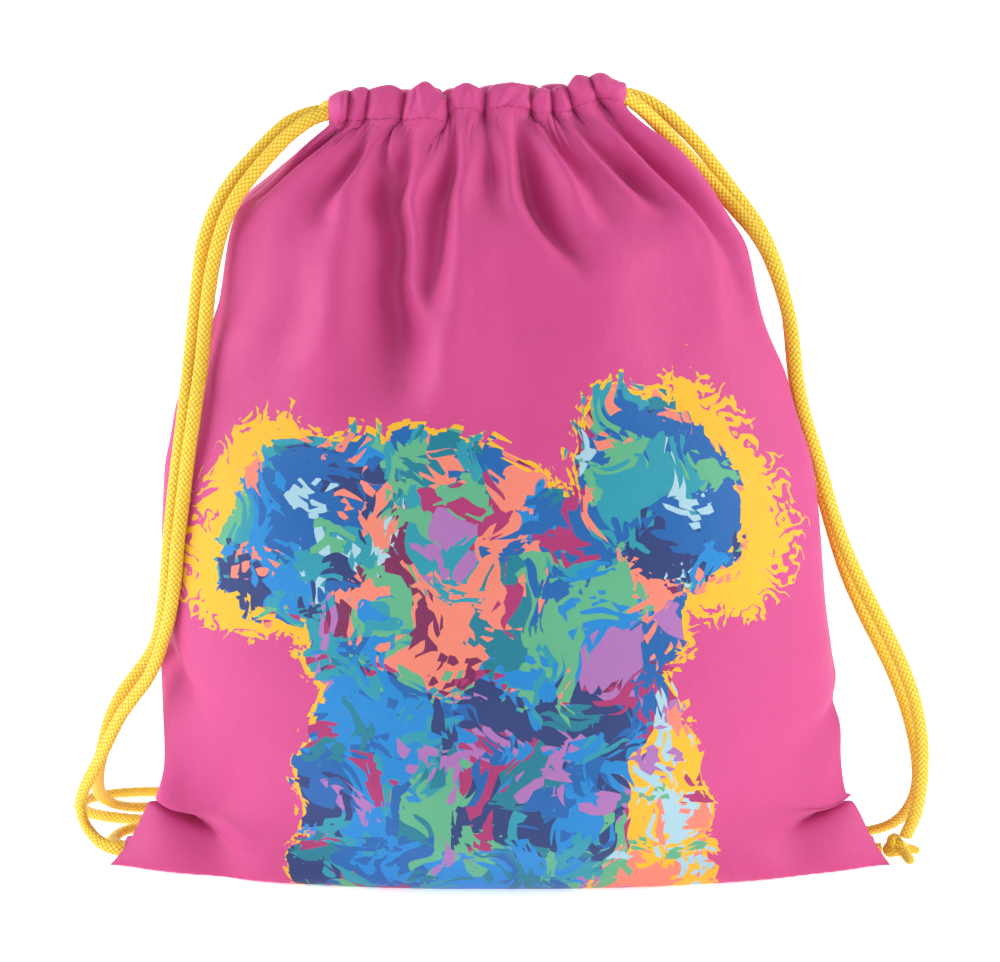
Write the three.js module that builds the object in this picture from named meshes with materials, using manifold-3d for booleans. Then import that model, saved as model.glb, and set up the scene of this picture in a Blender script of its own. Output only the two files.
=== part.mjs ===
// Drawstring backpack: a flat sewn polyester bag, filled and standing on its
// bottom seam, gathered at the mouth by two cords that run on as shoulder straps.
// Millimetres, +Z up, +X to the bag's right-hand side as seen from the printed
// front, the printed front panel facing -Y. The origin is at the middle of the
// bottom, on the surface the bag stands on.
import * as THREE from 'three';
import { mergeVertices } from 'three/addons/utils/BufferGeometryUtils.js';
import Module from 'manifold-3d';

const wasm = await Module();
wasm.setup();

// ---------------------------------------------------------------- dimensions
const CLOTH_T = 1.2;            // panel wall, thicker than the real 0.25 mm cloth
const SEAM_GAP = 0.15;          // each panel stops this far from the seam plane
const PANEL_TOP_Z = 312;        // where the panel ends and the hem casing begins
const HEM_BOTTOM_Z = 312.3;
const HEM_TOP_Z = 339.5;
const HEM_LEFT_X = -68;         // ends of the gathered hem
const HEM_RIGHT_X = 48;
const HEM_T = 9;                // front-to-back thickness of a gathered casing
const HEM_END_Y = 6;            // casing centre line, distance from seam plane at the ends
const HEM_BOW = 7;              // how much further out it stands at the middle
const CORD_D = 5.4;             // braided cord
const BORE_D = 6.4;             // clear channel for the cord inside the casing
const LEFT_CORD_Z = [327.3, 321.0];   // level of the left cord in the casing, left end, right end
const RIGHT_CORD_Z = [334.6, 334.6];  // level of the right cord
const BIGHT_R = 6;              // turn of a cord from one casing into the other
const CORD_SIDES = 8;
const SEAM_T = 1.0;             // folded and overlocked seam allowance
const SEAM_W = 7;
const STITCH_T = 0.7;
const LOOP_X0 = 156, LOOP_W = 8;      // corner loop: inner edge and tape width
const LOOP_T = 0.8;                   // tape thickness
const LOOP_IN = { y0: 3.4, y1: 18.6, z0: 1.5, z1: 8.4 };
const GAP = 0.3;

// Half widths of the filled bag by height: z, left, right.
const WIDTHS = [
  [0, 170, 170], [24, 160.5, 157.5], [40, 152.2, 153.2], [74, 146.7, 148.7], [118, 144, 142],
  [162, 141.3, 133.4], [183, 139.9, 130.2], [205, 136.7, 123], [226, 127.6, 117.8],
  [248, 120.5, 112.7], [269, 117.2, 106.6], [291, 112.1, 91.8], [303, 100.4, 81.1], [312, 91.5, 71.5],
];
// Belly depth on each side of the seam plane by height.
const DEPTHS = [
  [0, 34], [10, 46], [25, 58], [50, 66], [90, 69], [140, 68], [190, 63], [235, 53], [270, 40], [290, 30], [312, 16],
];
// Exponent of the cross-section: flat pinched ears at the bottom, an ellipse higher up.
const ROUNDNESS = [[0, 2.0], [25, 1.5], [50, 1.0], [100, 0.65], [150, 0.5], [312, 0.55]];
const PANEL_COLUMNS = 20;
const PANEL_ROWS_Z = [0, 4, 12, 24, 40, 60, 84, 112, 140, 168, 196, 222, 246, 268, 286, 300, 312];
const FLOOR_ROWS = 2;

// Routes of the free cord lengths, in millimetres.
const LEFT_CORD_FRONT_STRAND_ROUTE = [
  [-68.3, -6, 327.3], [-70.8, -6, 327.3], [-78.8, -6.7, 324.7], [-87.6, -8.1, 318.6], [-95.3, -9.9, 311], [-102.3, -11.9, 303],
  [-108.9, -13.5, 294.4], [-114, -14.7, 284.9], [-117.5, -15.8, 274.7], [-120, -16.9, 264.1], [-121.8, -18, 253.5], [-123, -19.3, 242.7],
  [-124, -21, 232], [-125.1, -24.1, 221.6], [-126.5, -28, 211.6], [-128, -30.1, 201.1], [-129.7, -30.8, 190.3], [-131.2, -30.9, 179.5],
  [-132.6, -30.5, 168.8], [-134.1, -30.1, 158], [-135.6, -29.1, 147.2], [-136.7, -27, 136.6], [-138.2, -24.6, 126.1], [-140.1, -21.6, 115.8],
  [-143, -18.4, 105.8], [-146.3, -16.2, 95.7], [-151, -13.6, 86.2], [-157, -10.4, 77.7], [-162.8, -7, 69.2], [-167.6, -3.7, 60],
  [-172, 0.1, 50.8], [-176.5, 4.7, 42], [-180.9, 9.4, 33.2], [-184, 14, 23.9], [-182.1, 16, 13.7], [-175.1, 12, 6.8],
  [-165.4, 7.6, 5], [-154.6, 6.7, 4.9],
];
const LEFT_CORD_BACK_STRAND_ROUTE = [
  [-68.3, 6, 327.3], [-70.8, 6, 327.3], [-79.2, 4.8, 326.7], [-89, 2.4, 322.9], [-97.1, -0.4, 316], [-104.4, -3.2, 308.3],
  [-111.4, -5.8, 300.3], [-117.3, -7.5, 291.3], [-121.8, -8.2, 281.3], [-124.9, -8.7, 270.8], [-126.5, -9.3, 260], [-127.8, -9.9, 249.1],
  [-129, -10.9, 238.3], [-130.1, -12.8, 227.6], [-130.9, -18.2, 218.1], [-131.8, -23.5, 208.6], [-133.1, -25.2, 197.9], [-134.6, -25.8, 187],
  [-136.1, -25.4, 176.2], [-137.5, -24.9, 165.3], [-138.8, -24.2, 154.5], [-140, -22.5, 143.7], [-141.1, -20.4, 133], [-142.4, -18.1, 122.4],
  [-144.2, -14.8, 112.1], [-146.7, -9.8, 102.7], [-150.6, -4.2, 94.2], [-156.5, -0.2, 85.8], [-162.4, 3.8, 77.5], [-167.2, 8.4, 68.8],
  [-170.8, 13.7, 59.9], [-173.5, 18.4, 50.4], [-176, 24.5, 41.7], [-178.1, 32.4, 34.4], [-179.5, 40.9, 27.6], [-180.3, 49.9, 21.5],
  [-180.2, 59.3, 15.8], [-178.1, 68.5, 10.3], [-172.9, 76.9, 5.7], [-164.5, 83.4, 3.3], [-154.2, 86.9, 2.9], [-143.7, 89.8, 2.9],
  [-138.3, 98.8, 2.9], [-142.4, 108.5, 2.9], [-152.5, 112, 2.9], [-163.4, 112.2, 2.9], [-174.3, 110.8, 2.9], [-184.3, 106.4, 2.9],
  [-191.3, 98.1, 2.9], [-193.1, 87.5, 2.9], [-189.1, 77.5, 2.9], [-180.9, 70.3, 2.9], [-170.9, 65.9, 2.9], [-160.3, 63, 2.9],
  [-149.5, 61, 2.9], [-138.7, 59.5, 3], [-128.1, 57, 3.3], [-122.5, 48.2, 4.8], [-127.1, 39, 7], [-137.4, 36.2, 8.1],
  [-148.4, 36.2, 7.9], [-159.1, 37.9, 7.1], [-168.6, 33.4, 5.4], [-171.2, 23.2, 4.2], [-165.3, 14.5, 4.6], [-154.6, 12.7, 4.9],
];
const RIGHT_CORD_FRONT_STRAND_ROUTE = [
  [48.3, -6, 334.6], [50.8, -6, 334.6], [58, -4.6, 329.9], [65.7, -1.5, 322.8], [72.8, 2.2, 315.4], [79.4, 7, 308.2],
  [86.5, 8.9, 300.2], [93.8, 8.9, 292.1], [100.4, 4.5, 284.8], [107, 0, 277.4], [112.6, -3, 268.6], [116.8, -5.2, 258.7],
  [120.2, -6.5, 248.4], [122.7, -7.1, 237.8], [124.2, -7.4, 227], [125.5, -7.3, 216.2], [127.5, -7, 205.5], [130.4, -6.5, 195],
  [133.7, -6, 184.6], [137, -5.6, 174.2], [140, -5.2, 163.7], [143.3, -5, 153.3], [147.1, -5, 143], [151.4, -4.9, 133],
  [156.2, -4.6, 123.2], [161.3, -4.2, 113.5], [166.3, -3.7, 103.9], [171.2, -3.1, 94.1], [175.5, -2.5, 84.1], [179, -2, 73.8],
  [181.4, -1.4, 63.2], [182.8, -0.6, 52.4], [183.1, 0.9, 41.6], [182.6, 3.1, 30.9], [180.9, 5.9, 20.5], [177.6, 9, 10.6],
];
const RIGHT_CORD_BACK_STRAND_ROUTE = [
  [48.3, 6, 334.6], [50.8, 6, 334.6], [59, 8.2, 332.6], [68.3, 10.4, 327.3], [76.6, 11.5, 320], [84.2, 12.2, 312],
  [91.2, 12.8, 303.4], [97.9, 12.6, 294.6], [104.6, 11.5, 285.9], [110.8, 10.1, 276.8], [115.6, 9.2, 266.9], [119.3, 9, 256.4],
  [121.8, 9.5, 245.6], [123.5, 10.5, 234.7], [124.7, 11.5, 223.8], [126.1, 12.3, 212.8], [127.9, 13, 201.9], [130.4, 13.4, 191.1],
  [133.3, 13.5, 180.4], [136.6, 13.2, 169.8], [139.9, 12.6, 159.3], [143, 11.8, 148.7], [146.2, 10.8, 138.1], [149.8, 9.9, 127.7],
  [154.1, 9, 117.5], [158.9, 8.4, 107.5], [164, 7.9, 97.7], [169, 7.6, 87.8], [173.4, 7.5, 77.6], [177, 7.5, 67.2],
  [179.9, 7.7, 56.5], [182, 8.7, 45.7], [182.8, 11.5, 35], [181.6, 16.6, 25.3], [178.5, 23, 16.9], [172.5, 29.2, 10],
  [163.1, 33.3, 6.1], [152.1, 34.5, 5.8], [142.1, 30.7, 5.4], [139, 20.5, 4.9], [145.2, 11.9, 4.7], [155.9, 9.8, 4.7],
  [167, 9.6, 4.8],
];

// ------------------------------------------------------------------- helpers
const lerpTable = (table, z, column = 1) => {
  if (z <= table[0][0]) return table[0][column];
  for (let i = 1; i < table.length; i++) {
    if (z <= table[i][0]) {
      const t = (z - table[i - 1][0]) / (table[i][0] - table[i - 1][0]);
      return table[i - 1][column] * (1 - t) + table[i][column] * t;
    }
  }
  return table[table.length - 1][column];
};

const fromTriangles = (points, triangles) => {
  const geometry = new THREE.BufferGeometry();
  geometry.setAttribute('position', new THREE.Float32BufferAttribute(points.flat(), 3));
  geometry.setIndex(triangles.flat());
  return geometry;
};

const toManifold = (geometry) => {
  let g = geometry.clone();
  g.deleteAttribute('normal');
  g.deleteAttribute('uv');
  g = mergeVertices(g, 1e-4);
  return new wasm.Manifold(new wasm.Mesh({
    numProp: 3,
    vertProperties: new Float32Array(g.attributes.position.array),
    triVerts: new Uint32Array(g.index.array),
  }));
};

const fromManifold = (solid) => {
  const mesh = solid.getMesh();
  const geometry = new THREE.BufferGeometry();
  geometry.setAttribute('position', new THREE.BufferAttribute(new Float32Array(mesh.vertProperties), 3));
  geometry.setIndex(new THREE.BufferAttribute(new Uint32Array(mesh.triVerts), 1));
  geometry.computeVertexNormals();
  return geometry;
};

const circleShape = (diameter, sides) => {
  const shape = new THREE.Shape();
  for (let i = 0; i < sides; i++) {
    const a = (2 * Math.PI * i) / sides;
    const x = 0.5 * diameter * Math.cos(a), y = 0.5 * diameter * Math.sin(a);
    if (i === 0) shape.moveTo(x, y); else shape.lineTo(x, y);
  }
  shape.closePath();
  return shape;
};

const tubeAlong = (points, diameter, steps, sides = CORD_SIDES) => {
  const path = new THREE.CatmullRomCurve3(points.map((p) => new THREE.Vector3(...p)), false, 'centripetal');
  return new THREE.ExtrudeGeometry(circleShape(diameter, sides), { steps, extrudePath: path, bevelEnabled: false });
};

const named = (name, geometry, color, roughness) => {
  const mesh = new THREE.Mesh(geometry, new THREE.MeshStandardMaterial({ color, roughness, metalness: 0 }));
  mesh.name = name;
  return mesh;
};

const PINK = 0xd8548c;
const PINK_THREAD = 0xb03a78;
const YELLOW = 0xfdcd2d;

// -------------------------------------------------------------------- panels
// One panel is a thin bowl-like shell: a flat strip under the belly from the
// bottom seam to the line where the cloth leaves the floor, then the belly wall.
const panelGeometry = (side) => {
  const points = [], triangles = [];
  const columns = [];
  for (let i = 0; i <= PANEL_COLUMNS; i++) columns.push(-Math.cos((Math.PI * i) / PANEL_COLUMNS));
  const rows = [];
  for (let j = 0; j < FLOOR_ROWS; j++) rows.push({ z: 0, f: j / FLOOR_ROWS });
  for (const z of PANEL_ROWS_Z) rows.push({ z, f: 1 });
  const surface = (inner) => {
    const start = points.length;
    for (const { z, f } of rows) {
      const left = lerpTable(WIDTHS, z, 1), right = lerpTable(WIDTHS, z, 2);
      const centre = (right - left) / 2;
      const half = (right + left) / 2 - (inner ? CLOTH_T : 0);
      const depth = lerpTable(DEPTHS, z), q = lerpTable(ROUNDNESS, z);
      for (const s of columns) {
        const bulge = depth * Math.pow(Math.max(0, 1 - s * s), q);
        const skin = inner ? 0.3 : SEAM_GAP + CLOTH_T;
        const y = SEAM_GAP + (skin + bulge - SEAM_GAP) * f;
        const zz = inner ? CLOTH_T + z * (PANEL_TOP_Z - CLOTH_T) / PANEL_TOP_Z : z;
        points.push([centre + s * half, side * y, zz]);
      }
    }
    return start;
  };
  const outer = surface(false), inner = surface(true);
  const n = PANEL_COLUMNS + 1, m = rows.length;
  const quad = (a, b, c, d) => {
    if (side < 0) triangles.push([a, b, c], [a, c, d]);
    else triangles.push([a, c, b], [a, d, c]);
  };
  for (let j = 0; j < m - 1; j++) {
    for (let i = 0; i < n - 1; i++) {
      const a = j * n + i, b = a + 1, c = a + n + 1, d = a + n;
      quad(outer + a, outer + b, outer + c, outer + d);
      quad(inner + a, inner + d, inner + c, inner + b);
    }
  }
  for (let i = 0; i < n - 1; i++) {
    quad(outer + i, inner + i, inner + i + 1, outer + i + 1);
    const t = (m - 1) * n + i;
    quad(outer + t, outer + t + 1, inner + t + 1, inner + t);
  }
  for (let j = 0; j < m - 1; j++) {
    const a = j * n, b = a + n, c = a + n - 1, d = b + n - 1;
    quad(outer + a, outer + b, inner + b, inner + a);
    quad(outer + c, inner + c, inner + d, outer + d);
  }
  const geometry = fromTriangles(points, triangles);
  geometry.computeVertexNormals();
  return geometry;
};

// ---------------------------------------------------------------- hem casing
// Plan curve of a gathered casing: bowed out in the middle, square to the
// ends, so the mouth is a narrow lens between the front and the back casing.
const hemY = (x) => {
  const c = (HEM_LEFT_X + HEM_RIGHT_X) / 2, h = (HEM_RIGHT_X - HEM_LEFT_X) / 2;
  const s = Math.min(1, Math.abs((x - c) / h));
  return HEM_END_Y + HEM_BOW * Math.pow(1 - s * s, 2);
};

const bandGeometry = (side, x0, x1, offset0, offset1, z0, z1, steps = 16) => {
  const near = [], far = [];
  for (let i = 0; i <= steps; i++) {
    const x = x0 + ((x1 - x0) * i) / steps;
    near.push(new THREE.Vector2(x, side * (hemY(x) + offset0)));
    far.push(new THREE.Vector2(x, side * (hemY(x) + offset1)));
  }
  const shape = new THREE.Shape([...near, ...far.reverse()]);
  const geometry = new THREE.ExtrudeGeometry(shape, { depth: z1 - z0, steps: 1, bevelEnabled: false });
  geometry.translate(0, 0, z0);
  return geometry;
};

const levelAt = (levels, x) => levels[0] + ((levels[1] - levels[0]) * (x - HEM_LEFT_X)) / (HEM_RIGHT_X - HEM_LEFT_X);

const channelPath = (side, levels, overrun) => {
  const points = [];
  if (overrun) points.push([HEM_LEFT_X - overrun, side * hemY(HEM_LEFT_X), levelAt(levels, HEM_LEFT_X)]);
  for (let i = 0; i <= 12; i++) {
    const x = HEM_LEFT_X + ((HEM_RIGHT_X - HEM_LEFT_X) * i) / 12;
    points.push([x, side * hemY(x), levelAt(levels, x)]);
  }
  if (overrun) points.push([HEM_RIGHT_X + overrun, side * hemY(HEM_RIGHT_X), levelAt(levels, HEM_RIGHT_X)]);
  return points;
};

const casingGeometry = (side) => {
  let solid = toManifold(bandGeometry(side, HEM_LEFT_X, HEM_RIGHT_X, -HEM_T / 2, HEM_T / 2, HEM_BOTTOM_Z, HEM_TOP_Z));
  for (const levels of [LEFT_CORD_Z, RIGHT_CORD_Z]) {
    solid = solid.subtract(toManifold(tubeAlong(channelPath(side, levels, 6), BORE_D, 14)));
  }
  return fromManifold(solid);
};

// A straight length of cord inside a casing, cut square at both ends.
const runGeometry = (side, levels) => {
  const long = toManifold(tubeAlong(channelPath(side, levels, 6), CORD_D, 14));
  const box = new THREE.BoxGeometry(HEM_RIGHT_X - HEM_LEFT_X, 80, 80);
  box.translate((HEM_LEFT_X + HEM_RIGHT_X) / 2, side * 10, 325);
  return fromManifold(long.intersect(toManifold(box)));
};

// The turn of a cord at the far end of the mouth, from the front casing back
// into the rear casing.
const bightGeometry = (direction, x, z) => {
  const points = [[x, -HEM_END_Y, z]];
  for (let i = 0; i <= 8; i++) {
    const a = -Math.PI / 2 + (Math.PI * i) / 8;
    points.push([x + direction * (0.8 + BIGHT_R * Math.cos(a)), (HEM_END_Y / BIGHT_R) * BIGHT_R * Math.sin(a), z]);
  }
  points.push([x, HEM_END_Y, z]);
  return tubeAlong(points, CORD_D, 14);
};

// --------------------------------------------------------------------- seams
const sideSeamGeometry = (direction) => {
  const column = direction < 0 ? 1 : 2;
  const outline = [];
  const inset = CLOTH_T + 2.8;
  const levels = [52, 70, 95, 120, 150, 180, 205, 226, 248, 269, 288];
  for (const z of levels) outline.push(new THREE.Vector2(direction * (lerpTable(WIDTHS, z, column) - inset), z));
  for (const z of levels.reverse()) outline.push(new THREE.Vector2(direction * (lerpTable(WIDTHS, z, column) - inset - SEAM_W), z));
  const geometry = new THREE.ExtrudeGeometry(new THREE.Shape(outline), { depth: SEAM_T, steps: 1, bevelEnabled: false });
  geometry.rotateX(Math.PI / 2);
  geometry.translate(0, SEAM_T / 2, 0);
  return geometry;
};

const bottomSeamGeometry = () => {
  const geometry = new THREE.BoxGeometry(236, SEAM_T, SEAM_W + 0.4, 8, 1, 1);
  geometry.translate(0, 0, CLOTH_T + 0.4 + (SEAM_W + 0.4) / 2);
  return geometry;
};

// -------------------------------------------------------------- corner loops
const cornerLoopGeometry = (direction) => {
  const { y0, y1, z0, z1 } = LOOP_IN;
  const rounded = (a, b, c, d, r, target) => {
    const pts = [];
    const corners = [[b - r, d - r, 0], [a + r, d - r, 90], [a + r, c + r, 180], [b - r, c + r, 270]];
    for (const [cx, cy, start] of corners) {
      for (let i = 0; i <= 4; i++) {
        const t = ((start + 22.5 * i) * Math.PI) / 180;
        pts.push(new THREE.Vector2(cx + r * Math.cos(t), cy + r * Math.sin(t)));
      }
    }
    return pts;
  };
  const shape = new THREE.Shape(rounded(y0 - LOOP_T, y1 + LOOP_T, z0 - LOOP_T, z1 + LOOP_T, 2.6));
  shape.holes.push(new THREE.Path(rounded(y0, y1, z0, z1, 1.8).reverse()));
  const geometry = new THREE.ExtrudeGeometry(shape, { depth: LOOP_W, steps: 1, bevelEnabled: false });
  // shape x, y and depth become part y, z and x
  geometry.applyMatrix4(new THREE.Matrix4().makeBasis(
    new THREE.Vector3(0, 1, 0), new THREE.Vector3(0, 0, 1), new THREE.Vector3(1, 0, 0)));
  geometry.translate(direction < 0 ? -LOOP_X0 - LOOP_W : LOOP_X0, 0, 0);
  return geometry;
};

// --------------------------------------------------------------------- knots
const knotGeometry = (x, y, z, rx, ry, rz) => {
  const geometry = new THREE.SphereGeometry(1, 14, 8);
  geometry.rotateX(Math.PI / 2);
  geometry.scale(rx, ry, rz);
  geometry.translate(x, y, z);
  return geometry;
};

// ------------------------------------------------------------------ assembly
const bag = new THREE.Group();
bag.add(named('front_panel', panelGeometry(-1), PINK, 0.62));
bag.add(named('back_panel', panelGeometry(1), PINK, 0.62));
bag.add(named('left_side_seam', sideSeamGeometry(-1), PINK_THREAD, 0.7));
bag.add(named('right_side_seam', sideSeamGeometry(1), PINK_THREAD, 0.7));
bag.add(named('bottom_seam', bottomSeamGeometry(), PINK_THREAD, 0.7));
bag.add(named('left_corner_loop', cornerLoopGeometry(-1), PINK, 0.65));
bag.add(named('right_corner_loop', cornerLoopGeometry(1), PINK, 0.65));

const cords = new THREE.Group();
cords.add(named('left_cord_front_strand', tubeAlong(LEFT_CORD_FRONT_STRAND_ROUTE, CORD_D, 36), YELLOW, 0.55));
cords.add(named('left_cord_back_strand', tubeAlong(LEFT_CORD_BACK_STRAND_ROUTE, CORD_D, 78), YELLOW, 0.55));
cords.add(named('right_cord_front_strand', tubeAlong(RIGHT_CORD_FRONT_STRAND_ROUTE, CORD_D, 36), YELLOW, 0.55));
cords.add(named('right_cord_back_strand', tubeAlong(RIGHT_CORD_BACK_STRAND_ROUTE, CORD_D, 46), YELLOW, 0.55));
cords.add(named('left_cord_bight', bightGeometry(1, HEM_RIGHT_X + GAP, LEFT_CORD_Z[1]), YELLOW, 0.55));
cords.add(named('right_cord_bight', bightGeometry(-1, HEM_LEFT_X - GAP, RIGHT_CORD_Z[0]), YELLOW, 0.55));
cords.add(named('left_corner_knot', knotGeometry(-148.6, 12.4, 5.3, 5.6, 5.2, 5), YELLOW, 0.55));
cords.add(named('right_corner_knot', knotGeometry(173.0, 9.5, 5.2, 5.6, 5.8, 4.9), YELLOW, 0.55));
bag.add(cords);

const frontLip = new THREE.Group();
frontLip.add(named('front_hem_casing', casingGeometry(-1), PINK, 0.62));
frontLip.add(named('front_hem_stitching', bandGeometry(-1, HEM_LEFT_X + 2, HEM_RIGHT_X - 2, HEM_T / 2 + GAP, HEM_T / 2 + GAP + STITCH_T, 314.4, 315.3), PINK_THREAD, 0.7));
frontLip.add(named('left_cord_front_run', runGeometry(-1, LEFT_CORD_Z), YELLOW, 0.55));
frontLip.add(named('right_cord_front_run', runGeometry(-1, RIGHT_CORD_Z), YELLOW, 0.55));
bag.add(frontLip);

const backLip = new THREE.Group();
backLip.add(named('back_hem_casing', casingGeometry(1), PINK, 0.62));
backLip.add(named('back_hem_stitching', bandGeometry(1, HEM_LEFT_X + 2, HEM_RIGHT_X - 2, HEM_T / 2 + GAP, HEM_T / 2 + GAP + STITCH_T, 314.4, 315.3), PINK_THREAD, 0.7));
backLip.add(named('left_cord_back_run', runGeometry(1, LEFT_CORD_Z), YELLOW, 0.55));
backLip.add(named('right_cord_back_run', runGeometry(1, RIGHT_CORD_Z), YELLOW, 0.55));
bag.add(backLip);

export default bag;
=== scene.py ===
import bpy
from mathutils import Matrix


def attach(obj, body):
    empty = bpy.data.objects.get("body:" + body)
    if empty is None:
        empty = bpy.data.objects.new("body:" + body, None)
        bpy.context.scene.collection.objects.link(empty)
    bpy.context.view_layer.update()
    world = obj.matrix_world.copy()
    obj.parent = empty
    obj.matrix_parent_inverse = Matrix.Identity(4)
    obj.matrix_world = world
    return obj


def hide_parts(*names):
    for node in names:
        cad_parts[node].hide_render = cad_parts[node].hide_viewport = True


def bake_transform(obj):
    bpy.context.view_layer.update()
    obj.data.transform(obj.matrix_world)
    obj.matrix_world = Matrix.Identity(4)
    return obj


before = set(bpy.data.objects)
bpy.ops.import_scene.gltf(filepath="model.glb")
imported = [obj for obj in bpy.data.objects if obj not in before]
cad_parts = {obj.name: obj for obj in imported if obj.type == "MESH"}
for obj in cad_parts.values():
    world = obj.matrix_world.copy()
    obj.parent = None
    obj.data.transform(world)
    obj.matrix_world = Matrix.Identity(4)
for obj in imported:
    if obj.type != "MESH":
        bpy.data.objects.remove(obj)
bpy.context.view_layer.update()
import math

import bpy
import numpy as np
from mathutils import Matrix, Vector

MM = 0.001
rng = np.random.default_rng(7)
scene = bpy.context.scene
scene.view_settings.view_transform = "Standard"
scene.view_settings.look = "None"


# ------------------------------------------------------------- mesh helpers
def make_mesh(name, verts_mm, faces, uvs=None, smooth=True):
    me = bpy.data.meshes.new(name)
    me.from_pydata((np.asarray(verts_mm, float) * MM).tolist(), [], [tuple(int(i) for i in f) for f in faces])
    me.validate()
    if uvs is not None:
        layer = me.uv_layers.new(name="UVMap")
        idx = np.zeros(len(me.loops), np.int32)
        me.loops.foreach_get("vertex_index", idx)
        uv = np.asarray(uvs, np.float32)[idx]
        for p in (me.polygons if uv[:, 0].max() > 0.8 else []):   # faces where a tube's turns start again
            a = p.loop_start
            u = uv[a:a + p.loop_total, 0]
            if u.max() - u.min() > 0.5:
                u[u < 0.5] += 1.0
        layer.data.foreach_set("uv", uv.ravel())
    me.polygons.foreach_set("use_smooth", [smooth] * len(me.polygons))
    me.update()
    ob = bpy.data.objects.new(name, me)
    scene.collection.objects.link(ob)
    return ob


def merge_parts(parts):
    """Several (verts, faces, uvs) as one."""
    V, F, U, n = [], [], [], 0
    for v, f, u in parts:
        V.append(np.asarray(v, float))
        U.append(np.asarray(u, float))
        F += [tuple(i + n for i in q) for q in f]
        n += len(v)
    return np.concatenate(V), F, np.concatenate(U)


def catmull(points, step):
    """Centripetal Catmull-Rom through points, resampled at even steps."""
    p = np.asarray(points, float)
    p = np.vstack([2 * p[0] - p[1], p, 2 * p[-1] - p[-2]])
    out = []
    for i in range(1, len(p) - 2):
        p0, p1, p2, p3 = p[i - 1:i + 3]
        t0 = 0.0
        t1 = t0 + np.linalg.norm(p1 - p0) ** 0.5
        t2 = t1 + np.linalg.norm(p2 - p1) ** 0.5
        t3 = t2 + np.linalg.norm(p3 - p2) ** 0.5
        t = np.linspace(t1, t2, 24, endpoint=False)[:, None]
        a1 = (t1 - t) / (t1 - t0) * p0 + (t - t0) / (t1 - t0) * p1
        a2 = (t2 - t) / (t2 - t1) * p1 + (t - t1) / (t2 - t1) * p2
        a3 = (t3 - t) / (t3 - t2) * p2 + (t - t2) / (t3 - t2) * p3
        b1 = (t2 - t) / (t2 - t0) * a1 + (t - t0) / (t2 - t0) * a2
        b2 = (t3 - t) / (t3 - t1) * a2 + (t - t1) / (t3 - t1) * a3
        out.append((t2 - t) / (t2 - t1) * b1 + (t - t1) / (t2 - t1) * b2)
    line = np.vstack(out + [p[-2:-1]])
    d = np.concatenate([[0], np.cumsum(np.linalg.norm(np.diff(line, axis=0), axis=1))])
    n = max(2, int(round(d[-1] / step)) + 1)
    t = np.linspace(0, d[-1], n)
    return np.stack([np.interp(t, d, line[:, k]) for k in range(3)], 1)


def unit(v):
    return v / (np.linalg.norm(v, axis=-1, keepdims=True) + 1e-12)


def tangents(line, closed=False):
    if closed:
        return unit(np.roll(line, -1, 0) - np.roll(line, 1, 0))
    return unit(np.gradient(line, axis=0))


def frames(line, want, twist=None, rate=0.035):
    """A side vector along the line, carried without twist and turned slowly towards want(point, tangent)."""
    T = tangents(line)
    n = want(line[0], T[0])
    n = unit(n - T[0] * n.dot(T[0]))
    N = [n]
    for i in range(1, len(line)):
        a, b = T[i - 1], T[i]
        ax = np.cross(a, b)
        s, c = np.linalg.norm(ax), a.dot(b)
        if s > 1e-7:
            ax = ax / s
            ang = math.atan2(s, c)
            n = n * math.cos(ang) + np.cross(ax, n) * math.sin(ang) + ax * ax.dot(n) * (1 - math.cos(ang))
        n = unit(n - b * n.dot(b))
        w = want(line[i], b)
        w = w - b * w.dot(b)
        if np.linalg.norm(w) > 0.3:
            w = unit(w)
            side = np.cross(b, n)
            ang = math.atan2(w.dot(side), w.dot(n))
            if abs(ang) > math.pi / 2:
                ang -= math.copysign(math.pi, ang)
            ang = max(-rate, min(rate, ang))
            n = n * math.cos(ang) + side * math.sin(ang)
        N.append(n)
    N = np.array(N)
    if twist is not None:
        B = np.cross(T, N)
        N = N * np.cos(twist)[:, None] + B * np.sin(twist)[:, None]
    return T, N, np.cross(T, N)


def tube(line, wide, thick, N, B, sides=16, taper=None, ripple=0.0, vscale=1.0, caps=True):
    """Oval tube round a line: wide along B, thick along N. UV: turns, millimetres."""
    n = len(line)
    th = np.linspace(0, 2 * math.pi, sides, endpoint=False)
    w = np.full(n, wide / 2) if taper is None else wide / 2 * taper
    h = np.full(n, thick / 2) if taper is None else thick / 2 * taper
    d = np.concatenate([[0], np.cumsum(np.linalg.norm(np.diff(line, axis=0), axis=1))])
    V = np.zeros((n, sides, 3))
    for k, a in enumerate(th):
        e = 1.0
        ca, sa = math.cos(a), math.sin(a)
        rr = 1.0 + ripple * np.sin(d / 2.1 * 2 * math.pi + (0 if k % 2 else math.pi))
        V[:, k] = line + B * (w * rr * math.copysign(abs(ca) ** e, ca))[:, None] + N * (h * rr * math.copysign(abs(sa) ** e, sa))[:, None]
    U = np.zeros((n, sides, 2))
    U[:, :, 0] = (np.arange(sides) / sides)[None]
    U[:, :, 1] = d[:, None] * vscale
    F = []
    for i in range(n - 1):
        for k in range(sides):
            k2 = (k + 1) % sides
            F.append((i * sides + k, i * sides + k2, (i + 1) * sides + k2, (i + 1) * sides + k))
    V, U = V.reshape(-1, 3), U.reshape(-1, 2)
    if caps:
        c0, c1 = len(V), len(V) + 1
        V = np.vstack([V, line[:1] - tangents(line)[:1] * thick * 0.12, line[-1:] + tangents(line)[-1:] * thick * 0.12])
        U = np.vstack([U, [[0.5, 0]], [[0.5, d[-1] * vscale]]])
        F += [(c0, (k + 1) % sides, k) for k in range(sides)]
        F += [(c1, (n - 1) * sides + k, (n - 1) * sides + (k + 1) % sides) for k in range(sides)]
    return V, F, U


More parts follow.
